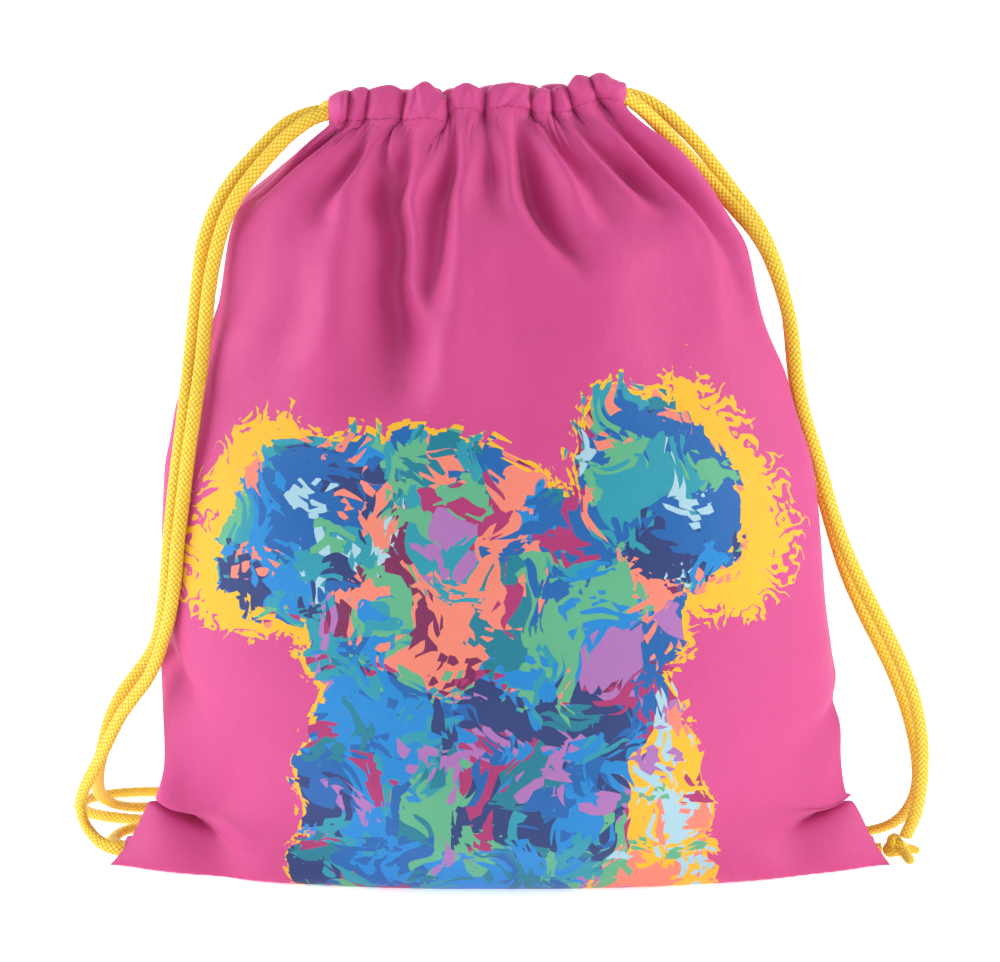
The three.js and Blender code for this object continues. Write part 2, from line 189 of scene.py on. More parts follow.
def tube_object(name, line, wide, thick, want, sides=16, twist=None, **kw):
    T, N, B = frames(line, want, twist)
    V, F, U = tube(line, wide, thick, N, B, sides, **kw)
    return make_mesh(name, V, F, fix_tube_uv(V, U))


def fix_tube_uv(V, U):
    return U


# --------------------------------------------------------- camera and light
cam_data = bpy.data.cameras.new("Camera")
cam = bpy.data.objects.new("Camera", cam_data)
scene.collection.objects.link(cam)
CAM_EL, CAM_D, CAM_F = math.radians(10), 1500.0, 3510.0
cam.location = (0, -1.5 * math.cos(CAM_EL), 0.170 + 1.5 * math.sin(CAM_EL))
cam.rotation_euler = (math.radians(90) - CAM_EL, 0, 0)
cam_data.sensor_width = 36
cam_data.lens = 126.36
cam_data.clip_start, cam_data.clip_end = 0.05, 30
cam_data.dof.use_dof = False
scene.camera = cam


def area_light(name, loc, target, size, power, color=(1, 1, 1), size_y=None):
    li = bpy.data.lights.new(name, "AREA")
    li.energy, li.size, li.color = power, size, color
    if size_y:
        li.shape, li.size_y = "RECTANGLE", size_y
    ob = bpy.data.objects.new(name, li)
    ob.location = loc
    ob.rotation_euler = (Vector(target) - Vector(loc)).to_track_quat("-Z", "Y").to_euler()
    scene.collection.objects.link(ob)
    return ob


area_light("Right box", (1.6, -0.42, 0.85), (0, 0, 0.16), 1.1, 24.0, (1.0, 0.985, 0.965))
area_light("Left box", (-1.55, -0.22, 0.6), (0, 0, 0.16), 1.1, 21.0, (0.97, 0.985, 1.0))
area_light("Front", (0.25, -1.7, 1.5), (0, 0, 0.16), 0.8, 2.0)
area_light("Top", (-0.1, -0.35, 1.9), (0, 0, 0.2), 1.1, 6.5)

world = bpy.data.worlds.new("Studio")
scene.world = world
world.use_nodes = True
wbg = world.node_tree.nodes["Background"]
wbg.inputs["Color"].default_value = (1, 1, 1, 1)
wbg.inputs["Strength"].default_value = 0.20

# ------------------------------------------------------------- cord routes
# The same points as the solids' routes, in metres.
LEFT_CORD_FRONT_STRAND_ROUTE = [
    (-0.0683, -0.006, 0.3273), (-0.0708, -0.006, 0.3273), (-0.0788, -0.0067, 0.3247), (-0.0876, -0.0081, 0.3186),
    (-0.0953, -0.0099, 0.311), (-0.1023, -0.0119, 0.303), (-0.1089, -0.0135, 0.2944), (-0.114, -0.0147, 0.2849),
    (-0.1175, -0.0158, 0.2747), (-0.12, -0.0169, 0.2641), (-0.1218, -0.018, 0.2535), (-0.123, -0.0193, 0.2427), (-0.124, -0.021, 0.232),
    (-0.1251, -0.0241, 0.2216), (-0.1265, -0.028, 0.2116), (-0.128, -0.0301, 0.2011), (-0.1297, -0.0308, 0.1903),
    (-0.1312, -0.0309, 0.1795), (-0.1326, -0.0305, 0.1688), (-0.1341, -0.0301, 0.158), (-0.1356, -0.0291, 0.1472),
    (-0.1367, -0.027, 0.1366), (-0.1382, -0.0246, 0.1261), (-0.1401, -0.0216, 0.1158), (-0.143, -0.0184, 0.1058),
    (-0.1463, -0.0162, 0.0957), (-0.151, -0.0136, 0.0862), (-0.157, -0.0104, 0.0777), (-0.1628, -0.007, 0.0692),
    (-0.1676, -0.0037, 0.06), (-0.172, 0.0001, 0.0508), (-0.1765, 0.0047, 0.042), (-0.1809, 0.0094, 0.0332), (-0.184, 0.014, 0.0239),
    (-0.1821, 0.016, 0.0137), (-0.1751, 0.012, 0.0068), (-0.1654, 0.0076, 0.005), (-0.1546, 0.0067, 0.0049),
]
LEFT_CORD_BACK_STRAND_ROUTE = [
    (-0.0683, 0.006, 0.3273), (-0.0708, 0.006, 0.3273), (-0.0792, 0.0048, 0.3267), (-0.089, 0.0024, 0.3229), (-0.0971, -0.0004, 0.316),
    (-0.1044, -0.0032, 0.3083), (-0.1114, -0.0058, 0.3003), (-0.1173, -0.0075, 0.2913), (-0.1218, -0.0082, 0.2813),
    (-0.1249, -0.0087, 0.2708), (-0.1265, -0.0093, 0.26), (-0.1278, -0.0099, 0.2491), (-0.129, -0.0109, 0.2383),
    (-0.1301, -0.0128, 0.2276), (-0.1309, -0.0182, 0.2181), (-0.1318, -0.0235, 0.2086), (-0.1331, -0.0252, 0.1979),
    (-0.1346, -0.0258, 0.187), (-0.1361, -0.0254, 0.1762), (-0.1375, -0.0249, 0.1653), (-0.1388, -0.0242, 0.1545),
    (-0.14, -0.0225, 0.1437), (-0.1411, -0.0204, 0.133), (-0.1424, -0.0181, 0.1224), (-0.1442, -0.0148, 0.1121),
    (-0.1467, -0.0098, 0.1027), (-0.1506, -0.0042, 0.0942), (-0.1565, -0.0002, 0.0858), (-0.1624, 0.0038, 0.0775),
    (-0.1672, 0.0084, 0.0688), (-0.1708, 0.0137, 0.0599), (-0.1735, 0.0184, 0.0504), (-0.176, 0.0245, 0.0417), (-0.1781, 0.0324, 0.0344),
    (-0.1795, 0.0409, 0.0276), (-0.1803, 0.0499, 0.0215), (-0.1802, 0.0593, 0.0158), (-0.1781, 0.0685, 0.0103),
    (-0.1729, 0.0769, 0.0057), (-0.1645, 0.0834, 0.0033), (-0.1542, 0.0869, 0.0029), (-0.1437, 0.0898, 0.0029),
    (-0.1383, 0.0988, 0.0029), (-0.1424, 0.1085, 0.0029), (-0.1525, 0.112, 0.0029), (-0.1634, 0.1122, 0.0029), (-0.1743, 0.1108, 0.0029),
    (-0.1843, 0.1064, 0.0029), (-0.1913, 0.0981, 0.0029), (-0.1931, 0.0875, 0.0029), (-0.1891, 0.0775, 0.0029),
    (-0.1809, 0.0703, 0.0029), (-0.1709, 0.0659, 0.0029), (-0.1603, 0.063, 0.0029), (-0.1495, 0.061, 0.0029), (-0.1387, 0.0595, 0.003),
    (-0.1281, 0.057, 0.0033), (-0.1225, 0.0482, 0.0048), (-0.1271, 0.039, 0.007), (-0.1374, 0.0362, 0.0081), (-0.1484, 0.0362, 0.0079),
    (-0.1591, 0.0379, 0.0071), (-0.1686, 0.0334, 0.0054), (-0.1712, 0.0232, 0.0042), (-0.1653, 0.0145, 0.0046),
    (-0.1546, 0.0127, 0.0049),
]
RIGHT_CORD_FRONT_STRAND_ROUTE = [
    (0.0483, -0.006, 0.3346), (0.0508, -0.006, 0.3346), (0.058, -0.0046, 0.3299), (0.0657, -0.0015, 0.3228), (0.0728, 0.0022, 0.3154),
    (0.0794, 0.007, 0.3082), (0.0865, 0.0089, 0.3002), (0.0938, 0.0089, 0.2921), (0.1004, 0.0045, 0.2848), (0.107, 0, 0.2774),
    (0.1126, -0.003, 0.2686), (0.1168, -0.0052, 0.2587), (0.1202, -0.0065, 0.2484), (0.1227, -0.0071, 0.2378), (0.1242, -0.0074, 0.227),
    (0.1255, -0.0073, 0.2162), (0.1275, -0.007, 0.2055), (0.1304, -0.0065, 0.195), (0.1337, -0.006, 0.1846), (0.137, -0.0056, 0.1742),
    (0.14, -0.0052, 0.1637), (0.1433, -0.005, 0.1533), (0.1471, -0.005, 0.143), (0.1514, -0.0049, 0.133), (0.1562, -0.0046, 0.1232),
    (0.1613, -0.0042, 0.1135), (0.1663, -0.0037, 0.1039), (0.1712, -0.0031, 0.0941), (0.1755, -0.0025, 0.0841), (0.179, -0.002, 0.0738),
    (0.1814, -0.0014, 0.0632), (0.1828, -0.0006, 0.0524), (0.1831, 0.0009, 0.0416), (0.1826, 0.0031, 0.0309), (0.1809, 0.0059, 0.0205),
    (0.1776, 0.009, 0.0106),
]
RIGHT_CORD_BACK_STRAND_ROUTE = [
    (0.0483, 0.006, 0.3346), (0.0508, 0.006, 0.3346), (0.059, 0.0082, 0.3326), (0.0683, 0.0104, 0.3273), (0.0766, 0.0115, 0.32),
    (0.0842, 0.0122, 0.312), (0.0912, 0.0128, 0.3034), (0.0979, 0.0126, 0.2946), (0.1046, 0.0115, 0.2859), (0.1108, 0.0101, 0.2768),
    (0.1156, 0.0092, 0.2669), (0.1193, 0.009, 0.2564), (0.1218, 0.0095, 0.2456), (0.1235, 0.0105, 0.2347), (0.1247, 0.0115, 0.2238),
    (0.1261, 0.0123, 0.2128), (0.1279, 0.013, 0.2019), (0.1304, 0.0134, 0.1911), (0.1333, 0.0135, 0.1804), (0.1366, 0.0132, 0.1698),
    (0.1399, 0.0126, 0.1593), (0.143, 0.0118, 0.1487), (0.1462, 0.0108, 0.1381), (0.1498, 0.0099, 0.1277), (0.1541, 0.009, 0.1175),
    (0.1589, 0.0084, 0.1075), (0.164, 0.0079, 0.0977), (0.169, 0.0076, 0.0878), (0.1734, 0.0075, 0.0776), (0.177, 0.0075, 0.0672),
    (0.1799, 0.0077, 0.0565), (0.182, 0.0087, 0.0457), (0.1828, 0.0115, 0.035), (0.1816, 0.0166, 0.0253), (0.1785, 0.023, 0.0169),
    (0.1725, 0.0292, 0.01), (0.1631, 0.0333, 0.0061), (0.1521, 0.0345, 0.0058), (0.1421, 0.0307, 0.0054), (0.139, 0.0205, 0.0049),
    (0.1452, 0.0119, 0.0047), (0.1559, 0.0098, 0.0047), (0.167, 0.0096, 0.0048),
]


# -------------------------------------------------------------------- cords
CORD_W, CORD_H = 6.0, 4.3         # the flattened oval of a hollow braid
ROUTES = {
    "left_cord_front_strand": np.array(LEFT_CORD_FRONT_STRAND_ROUTE) / MM,
    "left_cord_back_strand": np.array(LEFT_CORD_BACK_STRAND_ROUTE) / MM,
    "right_cord_front_strand": np.array(RIGHT_CORD_FRONT_STRAND_ROUTE) / MM,
    "right_cord_back_strand": np.array(RIGHT_CORD_BACK_STRAND_ROUTE) / MM,
}


def strand_side(p, t):
    """Thin side of the flattened cord: up where it lies on the floor, out from the bag elsewhere."""
    k = min(1.0, max(0.0, (p[2] - 10) / 25))
    out = np.array([0.25 * math.copysign(1, p[0]), -1.0 if p[1] < 25 else 0.4, 0.1])
    return unit(out * k + np.array([0, 0, 1.0]) * (1 - k))


cord_lines = {}
strands = {}
for name, route in ROUTES.items():
    line = catmull(route, 1.5)
    cord_lines[name] = line
    d = np.arange(len(line)) * 1.5
    ph = rng.uniform(0, 6.28, 3)
    twist = 0.32 * np.sin(d / 83 + ph[0]) + 0.22 * np.sin(d / 37 + ph[1]) + 0.1 * np.sin(d / 17 + ph[2])
    ob = tube_object(name, line, CORD_W, CORD_H, strand_side, sides=20, twist=twist, ripple=0.035)
    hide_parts(name)
    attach(ob, "bag")
    strands[name] = ob


def knot_line(centre, enter, leave, scale, spin, tilt):
    """A tight overhand knot: one and a half turns of a trefoil between the way in and the cut tail."""
    t = np.linspace(0.55, 2 * math.pi + 0.05, 60)
    p = np.stack([np.sin(t) + 2 * np.sin(2 * t), np.cos(t) - 2 * np.cos(2 * t), -1.25 * np.sin(3 * t)], 1)
    R = np.array(Matrix.Rotation(tilt, 3, "X") @ Matrix.Rotation(spin, 3, "Z"))
    p = p @ R.T * scale + centre
    return p


def knot_object(name, centre, tails, scale=1.3, spin=0.0, tilt=0.0):
    line = knot_line(np.array(centre), None, None, scale, spin, tilt)
    parts = []
    def mk(l, w, h, taper=None):
        l = catmull(l, 0.8)
        T, N, B = frames(l, lambda p, t: unit(p - np.array(centre) + 1e-6), None)
        tp = None
        if taper:
            d = np.linspace(0, 1, len(l))
            tp = 1 - 0.28 * np.clip((d - 0.8) / 0.2, 0, 1)
        V, F, U = tube(l, w, h, N, B, 14, taper=tp)
        return V, F, U
    parts.append(mk(line[::3], 4.6, 3.7))
    for tail in tails:
        parts.append(mk(np.array(tail, float), 5.2, 4.0, True))
    V, F, U = merge_parts(parts)
    ob = make_mesh(name, V, F, U)
    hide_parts(name)
    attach(ob, "bag")
    return ob


knots = [
    knot_object("left_corner_knot", (-148.6, 12.4, 5.9), [
        [(-148.6, 12.4, 6.5), (-144.5, 14.5, 6.0), (-140.5, 18.0, 4.6), (-138.0, 22.0, 3.0)],
        [(-148.6, 12.4, 5.0), (-145.0, 16.0, 4.2), (-143.5, 20.5, 3.2), (-144.5, 25.0, 2.6)]], 1.25, 0.4, 0.5),
    knot_object("right_corner_knot", (173.0, 9.5, 5.9), [
        [(173.0, 9.5, 6.0), (176.0, 5.5, 5.0), (177.6, 1.0, 3.6), (178.2, -3.5, 2.8)],
        [(173.0, 9.5, 5.0), (177.0, 12.5, 4.4), (180.5, 14.0, 3.4), (184.0, 13.5, 2.6)]], 1.3, 1.1, 1.2),
]

# ------------------------------------------------------------------ cloth
CUT_W = 340.0                     # finished flat width, seam to seam
CUT_H = 420.0                     # finished flat height, bottom seam to top fold
CASING = 16.0                     # height of the cord casing
STITCH_V = CUT_H - CASING

Z_W = np.array([0, 6.5, 13, 18.6, 23, 27, 34, 50, 74, 118, 162, 183, 205, 226, 248, 269, 291, 303, 312, 318, 324, 336.])
W_L = np.array([170, 164.5, 160, 156.5, 153.5, 151.5, 151, 150, 147, 144, 141.3, 139.9, 136.7, 127.6, 120.5, 117.2, 112.1, 100.4, 91.5, 84.5, 77.5, 71.5])
W_R = np.array([170, 165.5, 161, 157.5, 155, 153, 151, 148.5, 146, 139, 133.4, 130.2, 123, 117.8, 112.7, 106.6, 91.8, 81.1, 71.5, 64.5, 58.5, 52.5])
Z_D = np.array([0, 10, 25, 50, 90, 140, 190, 235, 270, 290, 312, 324.])
DEP = np.array([32, 45, 58, 66, 69, 68, 63, 53, 40, 31, 20, 15.])
Z_Q = np.array([0, 25, 50, 100, 150, 324.])
QQ = np.array([0.95, 1.2, 1.0, 0.65, 0.5, 0.55])
HEM_L, HEM_R = -71.5, 52.5


def hem_y(x):
    s = np.clip(np.abs((x - (HEM_L + HEM_R) / 2) / ((HEM_R - HEM_L) / 2)), 0, 1)
    return 6.0 + 7.0 * (1 - s * s) ** 2


def base_surface(nu, nv):
    """Smooth filled shape, as positions of a flat nu x nv grid: [nu, nv, 3] for the front panel (y <= 0)."""
    zs = np.concatenate([np.linspace(0, 60, 25)[:-1], np.linspace(60, 324, 90)])
    s = np.sin(np.linspace(-np.pi / 2, np.pi / 2, 181))
    wl, wr = np.interp(zs, Z_W, W_L), np.interp(zs, Z_W, W_R)
    d, q = np.interp(zs, Z_D, DEP), np.interp(zs, Z_Q, QQ)
    c, h = (wr - wl) / 2, (wr + wl) / 2
    X = c[:, None] + h[:, None] * s[None]
    Y = d[:, None] * np.clip(1 - s * s, 0, 1)[None] ** q[:, None]
    arc = np.concatenate([np.zeros((len(zs), 1)), np.cumsum(np.hypot(np.diff(X, axis=1), np.diff(Y, axis=1)), axis=1)], axis=1)
    uu = np.linspace(0, 1, nu)
    cols = np.zeros((nu, len(zs), 3))
    for k in range(len(zs)):
        f = arc[k] / arc[k, -1]
        cols[:, k, 0] = np.interp(uu, f, X[k])
        cols[:, k, 1] = -np.interp(uu, f, Y[k])
        cols[:, k, 2] = zs[k]
    out = np.zeros((nu, nv, 3))
    vv = np.linspace(0, STITCH_V, nv)
    for i in range(nu):
        p = cols[i]
        floor = -p[0, 1]
        n = max(2, int(floor / 2) + 2)
        run = np.zeros((n, 3))
        run[:, 0] = p[0, 0]
        run[:, 1] = -np.linspace(0, floor, n)
        line = np.vstack([run[:-1], p])
        a = np.concatenate([[0], np.cumsum(np.linalg.norm(np.diff(line, axis=0), axis=1))])
        # spare length is taken up just above the bottom corner, where the ears tuck in
        spare = STITCH_V - a[-1]
        v0 = max(33.0, floor)
        v1 = v0 + 54.0
        slope = min(1.3, max(0.12, 1 - spare / (v1 - v0)))
        end = v0 + (v1 - v0) * slope
        ear = np.interp(vv, [0, v0, v1, STITCH_V], [0, v0, end, a[-1]])
        plain = np.interp(vv, [0, floor, STITCH_V], [0, floor, a[-1]])
        k = math.exp(-(min(i, nu - 1 - i) / (nu - 1) * CUT_W / 75) ** 2)
        t = ear * k + plain * (1 - k)
        for m in range(3):
            out[i, :, m] = np.interp(t, a, line[:, m])
    return out


def pleat_path(edges, depths, leans, n_out, amp=4.4):
    """Plan path of a gathered hem as a row of rounded arches: x and r (amp on a ridge, -amp in a valley) at n_out even steps."""
    cuts = [HEM_L] + [(edges[k][1] + edges[k + 1][0]) / 2 for k in range(len(edges) - 1)] + [HEM_R]
    low = [0.55] + list(depths) + [0.55]
    lean = [0.0] + list(leans) + [0.0]
    X, R = [], []
    for k in range(len(cuts) - 1):
        a, b = cuts[k], cuts[k + 1]
        t = np.linspace(0, 1, 80)
        if k:
            t = t[1:]
        wide = np.clip((b - a - 8) / 12, 0, 1)
        arch = (1 - np.abs(2 * t - 1) ** (2.2 + 1.0 * wide)) ** (0.62 - 0.14 * wide)
        floor = -amp * (low[k] * (1 - t) + low[k + 1] * t)
        ridge = amp * (0.85 + 0.3 * wide)
        x = a + (b - a) * t
        # arches lean over their valleys
        x = x + 0.5 * (lean[k] * (1 - t) ** 3 + lean[k + 1] * t ** 3) * (arch - 0.3)
        X.append(x)
        R.append(floor + (ridge - floor) * arch)
    q = np.stack([np.concatenate(X), np.concatenate(R)], 1)
    L = np.concatenate([[0], np.cumsum(np.hypot(*np.diff(q, axis=0).T))])
    t = np.linspace(0, L[-1], n_out)
    x, r = np.interp(t, L, q[:, 0]), np.interp(t, L, q[:, 1])
    k = np.array([0.25, 0.5, 0.25])
    if n_out > 120:
        r = np.convolve(np.pad(r, 1, mode="edge"), k, "valid")
    return x, r, amp


# Pleats of the front hem (left and right edge), level of the top fold and of the stitch line, in mm.
FRONT_PLEATS = [(-70.8, -64.6), (-63.7, -56.6), (-55.8, -41.9), (-40.7, -23.5), (-19.7, -7.5), (-5.4, 11.7), (13.8, 21.4), (22.6, 29.8), (31.0, 40.2), (41.9, 50.7)]
FRONT_TOP = [(-72.2, 332.8), (-67.2, 335.7), (-63.9, 336.1), (-59.7, 337.4), (-55.6, 336.5), (-46.5, 338.2), (-41.1, 334.9), (-31.1, 340.2), (-22.0, 332.8), (-16.6, 339.0), (-11.6, 339.0), (-7.1, 329.1), (-2.5, 337.4), (4.1, 338.2), (10.8, 337.8), (12.9, 334.5), (17.0, 337.4), (21.6, 335.7), (25.7, 337.8), (29.9, 336.5), (34.8, 342.7), (40.2, 341.5), (45.2, 344.0), (50.6, 337.4)]
FRONT_STITCH = [(-72.2, 323.2), (-63.9, 323.9), (-55.6, 324.7), (-44.8, 325.5), (-41.1, 324.3), (-31.1, 326.3), (-22.4, 324.3), (-18.7, 329.6), (-12.4, 330.1), (-7.5, 328.0), (-3.3, 330.1), (4.1, 330.9), (10.8, 330.1), (12.9, 327.6), (17.0, 327.6), (21.6, 327.6), (25.7, 328.0), (29.9, 328.8), (35.2, 331.7), (40.2, 332.9), (45.2, 333.8), (50.6, 331.3)]


def hem_tables():
    """Pleats of the front hem, and of the back hem drawn at random."""
    f_depth = np.array([0.8, 0.85, 0.95, 1.25, 1.1, 0.95, 0.8, 0.8, 1.0])
    f_lean = np.array([1.0, 1.2, 2.0, 4.0, -1.5, 2.2, 1.2, -1.2, 1.0])
    widths = rng.uniform(8.5, 16.5, 10)
    gaps = rng.uniform(0.6, 1.8, 9)
    widths *= ((HEM_R - HEM_L) - 1.0 - gaps.sum()) / widths.sum()
    b_edges, x = [], HEM_L + 0.5
    for k in range(10):
        b_edges.append((x, x + widths[k]))
        x += widths[k] + (gaps[k] if k < 9 else 0)
    return (FRONT_PLEATS, f_depth, f_lean), (b_edges, rng.uniform(0.8, 1.15, 9), rng.uniform(-2.2, 2.2, 9))


class Grid:
    """Two cloth panels on one flat grid, front and back, sewn along the sides and the bottom."""

    def __init__(self, nu, nv, P):
        self.nu, self.nv = nu, nv
        self.du, self.dv = CUT_W / (nu - 1), STITCH_V / (nv - 1)
        self.P = P                       # [2, nu, nv, 3]
        self.V = None if P is None else np.zeros_like(P)


def project(a, b, rest, k, kc=None):
    """One batch of length constraints, no point used twice."""
    d = b - a
    L = np.sqrt((d * d).sum(-1)) + 1e-9
    s = (L - rest) / L
    if kc is not None:
        s = np.where(s < 0, s * kc, s * k)
    else:
        s = s * k
    d *= (0.5 * s)[..., None]
    a += d
    b -= d


def box_blur(A, n):
    """Mean over (2 n + 1) grid lines each way, edges held."""
    for axis in (1, 2):
        A = np.moveaxis(A, axis, 0)
        m = len(A)
        E = np.concatenate([2 * A[:1] - A[n:0:-1], A, 2 * A[-1:] - A[-2:-n - 2:-1]])
        C = np.concatenate([np.zeros_like(E[:1]), np.cumsum(E, axis=0)])
        A = (C[2 * n + 1:] - C[:-2 * n - 1])[:m] / (2 * n + 1)
        A = np.moveaxis(A, 0, axis)
    return A


def solve(G, iters, hem, base, k_base, pressure, k_bend, gravity, own=None, k_own=0.0, blur=5, floor_mu=0.5, cords=None, damp=0.9, kc_u=0.6, kc_v=0.6, kc_d=0.0, log=None):
    """Relax the two panels: gravity, filling pressure, thread lengths both ways, bending, sewn edges, floor and cords."""
    own = base if own is None else own
    kc_u, kc_v = np.broadcast_to(kc_u, (G.nv,)), np.broadcast_to(kc_v, (G.nv,))
    P = G.P
    pull = np.zeros_like(P)
    bends = [(1, k_bend), (2, k_bend * 0.5)]
    nu, nv = G.nu, G.nv
    du, dv = G.du, G.dv
    dd = math.hypot(du, dv)
    V = G.V
    soft = np.interp(np.linspace(0, STITCH_V, G.nv), [0, 200, 300, 404], [1, 0.9, 0.4, 0.15])
    for it in range(iters):
        old = P.copy()
        # pressure along the normals
        tu = np.empty_like(P)
        tu[:, 1:-1] = P[:, 2:] - P[:, :-2]
        tu[:, 0] = P[:, 1] - P[:, 0]
        tu[:, -1] = P[:, -1] - P[:, -2]
        tv = np.empty_like(P)
        tv[:, :, 1:-1] = P[:, :, 2:] - P[:, :, :-2]
        tv[:, :, 0] = P[:, :, 1] - P[:, :, 0]
        tv[:, :, -1] = P[:, :, -1] - P[:, :, -2]
        n = np.cross(tu, tv)
        n /= np.sqrt((n * n).sum(-1))[..., None] + 1e-9
        n[1] *= -1.0
        V *= damp
        V += n * pressure
        V[..., 2] -= gravity
        if it % 3 == 0:
            pull = (base - box_blur(P, blur)) * k_base
        V += pull + (own - P) * k_own
        np.clip(V, -3.0, 3.0, out=V)
        P += V
        for side in range(2):
            Q = P[side]
            for s0 in (0, 1):
                m = (nu - s0) // 2
                project(Q[s0:s0 + 2 * m:2], Q[s0 + 1:s0 + 2 * m:2], du, 1.0, kc_u[None])
            for s0 in (0, 1):
                m = (nv - s0) // 2
                project(Q[:, s0:s0 + 2 * m:2], Q[:, s0 + 1:s0 + 2 * m:2], dv, 1.0, kc_v[None, s0:s0 + 2 * m:2])
            for s0 in (0, 1):
                m = (nu - s0) // 2
                project(Q[s0:s0 + 2 * m:2, :-1], Q[s0 + 1:s0 + 2 * m:2, 1:], dd, 0.35, kc_d)
                project(Q[s0:s0 + 2 * m:2, 1:], Q[s0 + 1:s0 + 2 * m:2, :-1], dd, 0.35, kc_d)
            if k_bend > 0:      # bending: each point a little towards the line through its neighbours
                for st, kb in bends:
                    m = (Q[2 * st:] + Q[:-2 * st]) * 0.5 - Q[st:-st]
                    Q[st:-st] += m * kb * soft[None, :, None]
                    m = (Q[:, 2 * st:] + Q[:, :-2 * st]) * 0.5 - Q[:, st:-st]
                    Q[:, st:-st] += m * kb * soft[None, st:-st, None]
        # seams
        for sl in ((slice(0, 1), slice(None)), (slice(-1, None), slice(None)), (slice(None), slice(0, 1))):
            m = 0.5 * (P[0][sl] + P[1][sl])
            P[0][sl] = m
            P[1][sl] = m
        # front and back keep apart
        gap = P[1, 1:-1, 1:, 1] - P[0, 1:-1, 1:, 1]
        c = np.clip(1.2 - gap, 0, 2) * 0.5
        P[0, 1:-1, 1:, 1] -= c
        P[1, 1:-1, 1:, 1] += c
        # corners stay put, floor
        P[:, 0, 0] = (-170, 0, 0.2)
        P[:, -1, 0] = (170, 0, 0.2)
        low = P[..., 2] < 0.2
        P[..., 2] = np.where(low, 0.2, P[..., 2])
        for m in (0, 1):
            P[..., m] = np.where(low, old[..., m] * floor_mu + P[..., m] * (1 - floor_mu), P[..., m])
        if cords is not None and it % 4 == 0:
            push_off_cords(P, cords)
        P[0, :, -1] = hem[0]
        P[1, :, -1] = hem[1]
        V[:] = P - old
        if log and (it % log == 0 or it == iters - 1):
            print("   it", it, "max move %.3f mean %.4f" % (np.abs(V).max(), np.abs(V).mean()))
    return G


def push_off_cords(P, cords):
    """Keep the cloth clear of the cords. The front panel's left side is pressed inwards by them, the rest gives way."""
    pts, rad = cords
    band = max(10, P.shape[1] // 6)
    for side in range(2):
        for cols, left in ((slice(0, band), True), (slice(-band, None), False)):
            Q = P[side][cols]
            q = Q.reshape(-1, 3)
            c = pts[pts[:, 0] < 0] if left else pts[pts[:, 0] > 0]
            sel = np.abs(q[:, 0]) > 60
            if not sel.any():
                continue
            qq = q[sel]
            d = qq[:, None, :] - c[None]
            dist2 = (d * d).sum(-1)
            j = dist2.argmin(1)
            dm, m2 = d[np.arange(len(qq)), j], dist2[np.arange(len(qq)), j]
            near = m2 < rad * rad
            if left and side == 0:
                n = unit(c[j] * (-1 / 140 ** 2, -1 / 68 ** 2, 0))
                dn = (dm * n).sum(-1)
                step = -dn + np.sqrt(np.maximum(dn * dn - m2 + rad * rad, 0))
            else:
                m = np.sqrt(m2)
                n = dm / (m[:, None] + 1e-6)
                step = rad - m
            qq = qq + n * (np.clip(step, 0, 1.5) * near)[:, None]
            q[sel] = qq
            P[side][cols] = q.reshape(Q.shape)


def refine(G):
    """Twice as fine a grid, by cubic interpolation along each direction."""
    def up(A, axis):
        A = np.moveaxis(A, axis, 0)
        n = len(A)
        ext = np.concatenate([2 * A[:1] - A[1:2], A, 2 * A[-1:] - A[-2:-1]])
        mid = (-ext[:-3] + 9 * ext[1:-2] + 9 * ext[2:-1] - ext[3:]) / 16
        out = np.empty((2 * n - 1,) + A.shape[1:])
        out[0::2] = A
        out[1::2] = mid
        return np.moveaxis(out, 0, axis)
    P = up(up(G.P, 1), 2)
    return Grid(2 * G.nu - 1, 2 * G.nv - 1, P)


# --------------------------------------------------------- solve the panels
def hem_rows(nu):
    rows = []
    for k, (edges, depths, leans) in enumerate(HEMS):
        x, r, amp = pleat_path(edges, depths, leans, nu)
        fade = np.clip(np.minimum(x - HEM_L, HEM_R - x) / 9, 0, 1)
        s = -1 if k == 0 else 1
        z = np.interp(x, FS[:, 0], FS[:, 1]) - (0 if k == 0 else 2.5)
        rows.append(np.stack([x, s * (hem_y(x) + r), z], 1))
    return rows


def running_mean(a, n):
    k = np.ones(2 * n + 1) / (2 * n + 1)
    return np.stack([np.convolve(np.pad(a[:, m], n, mode="edge"), k, "valid") for m in range(3)], 1)


def targets(nu, nv, rows):
    b = base_surface(nu, nv)
    bb = b.copy()
    bb[..., 1] *= -1
    base = np.stack([b, bb])
    vv = np.linspace(0, STITCH_V, nv)
    w = np.clip((vv - 235) / (STITCH_V - 235), 0, 1) ** 1.5
    lo = base.copy()
    for side, H in enumerate(rows):
        sm = running_mean(running_mean(H, max(3, nu // 24)), max(3, nu // 24))
        sm[:, 1] = (-1 if side == 0 else 1) * hem_y(sm[:, 0])
        lo[side] += (sm - base[side][:, -1])[:, None, :] * w[None, :, None]
    P = lo.copy()
    w2 = np.clip((vv - 250) / (STITCH_V - 250), 0, 1) ** 1.6
    for side, H in enumerate(rows):
        P[side] += (H - lo[side][:, -1])[:, None, :] * w2[None, :, None]
    return lo, P


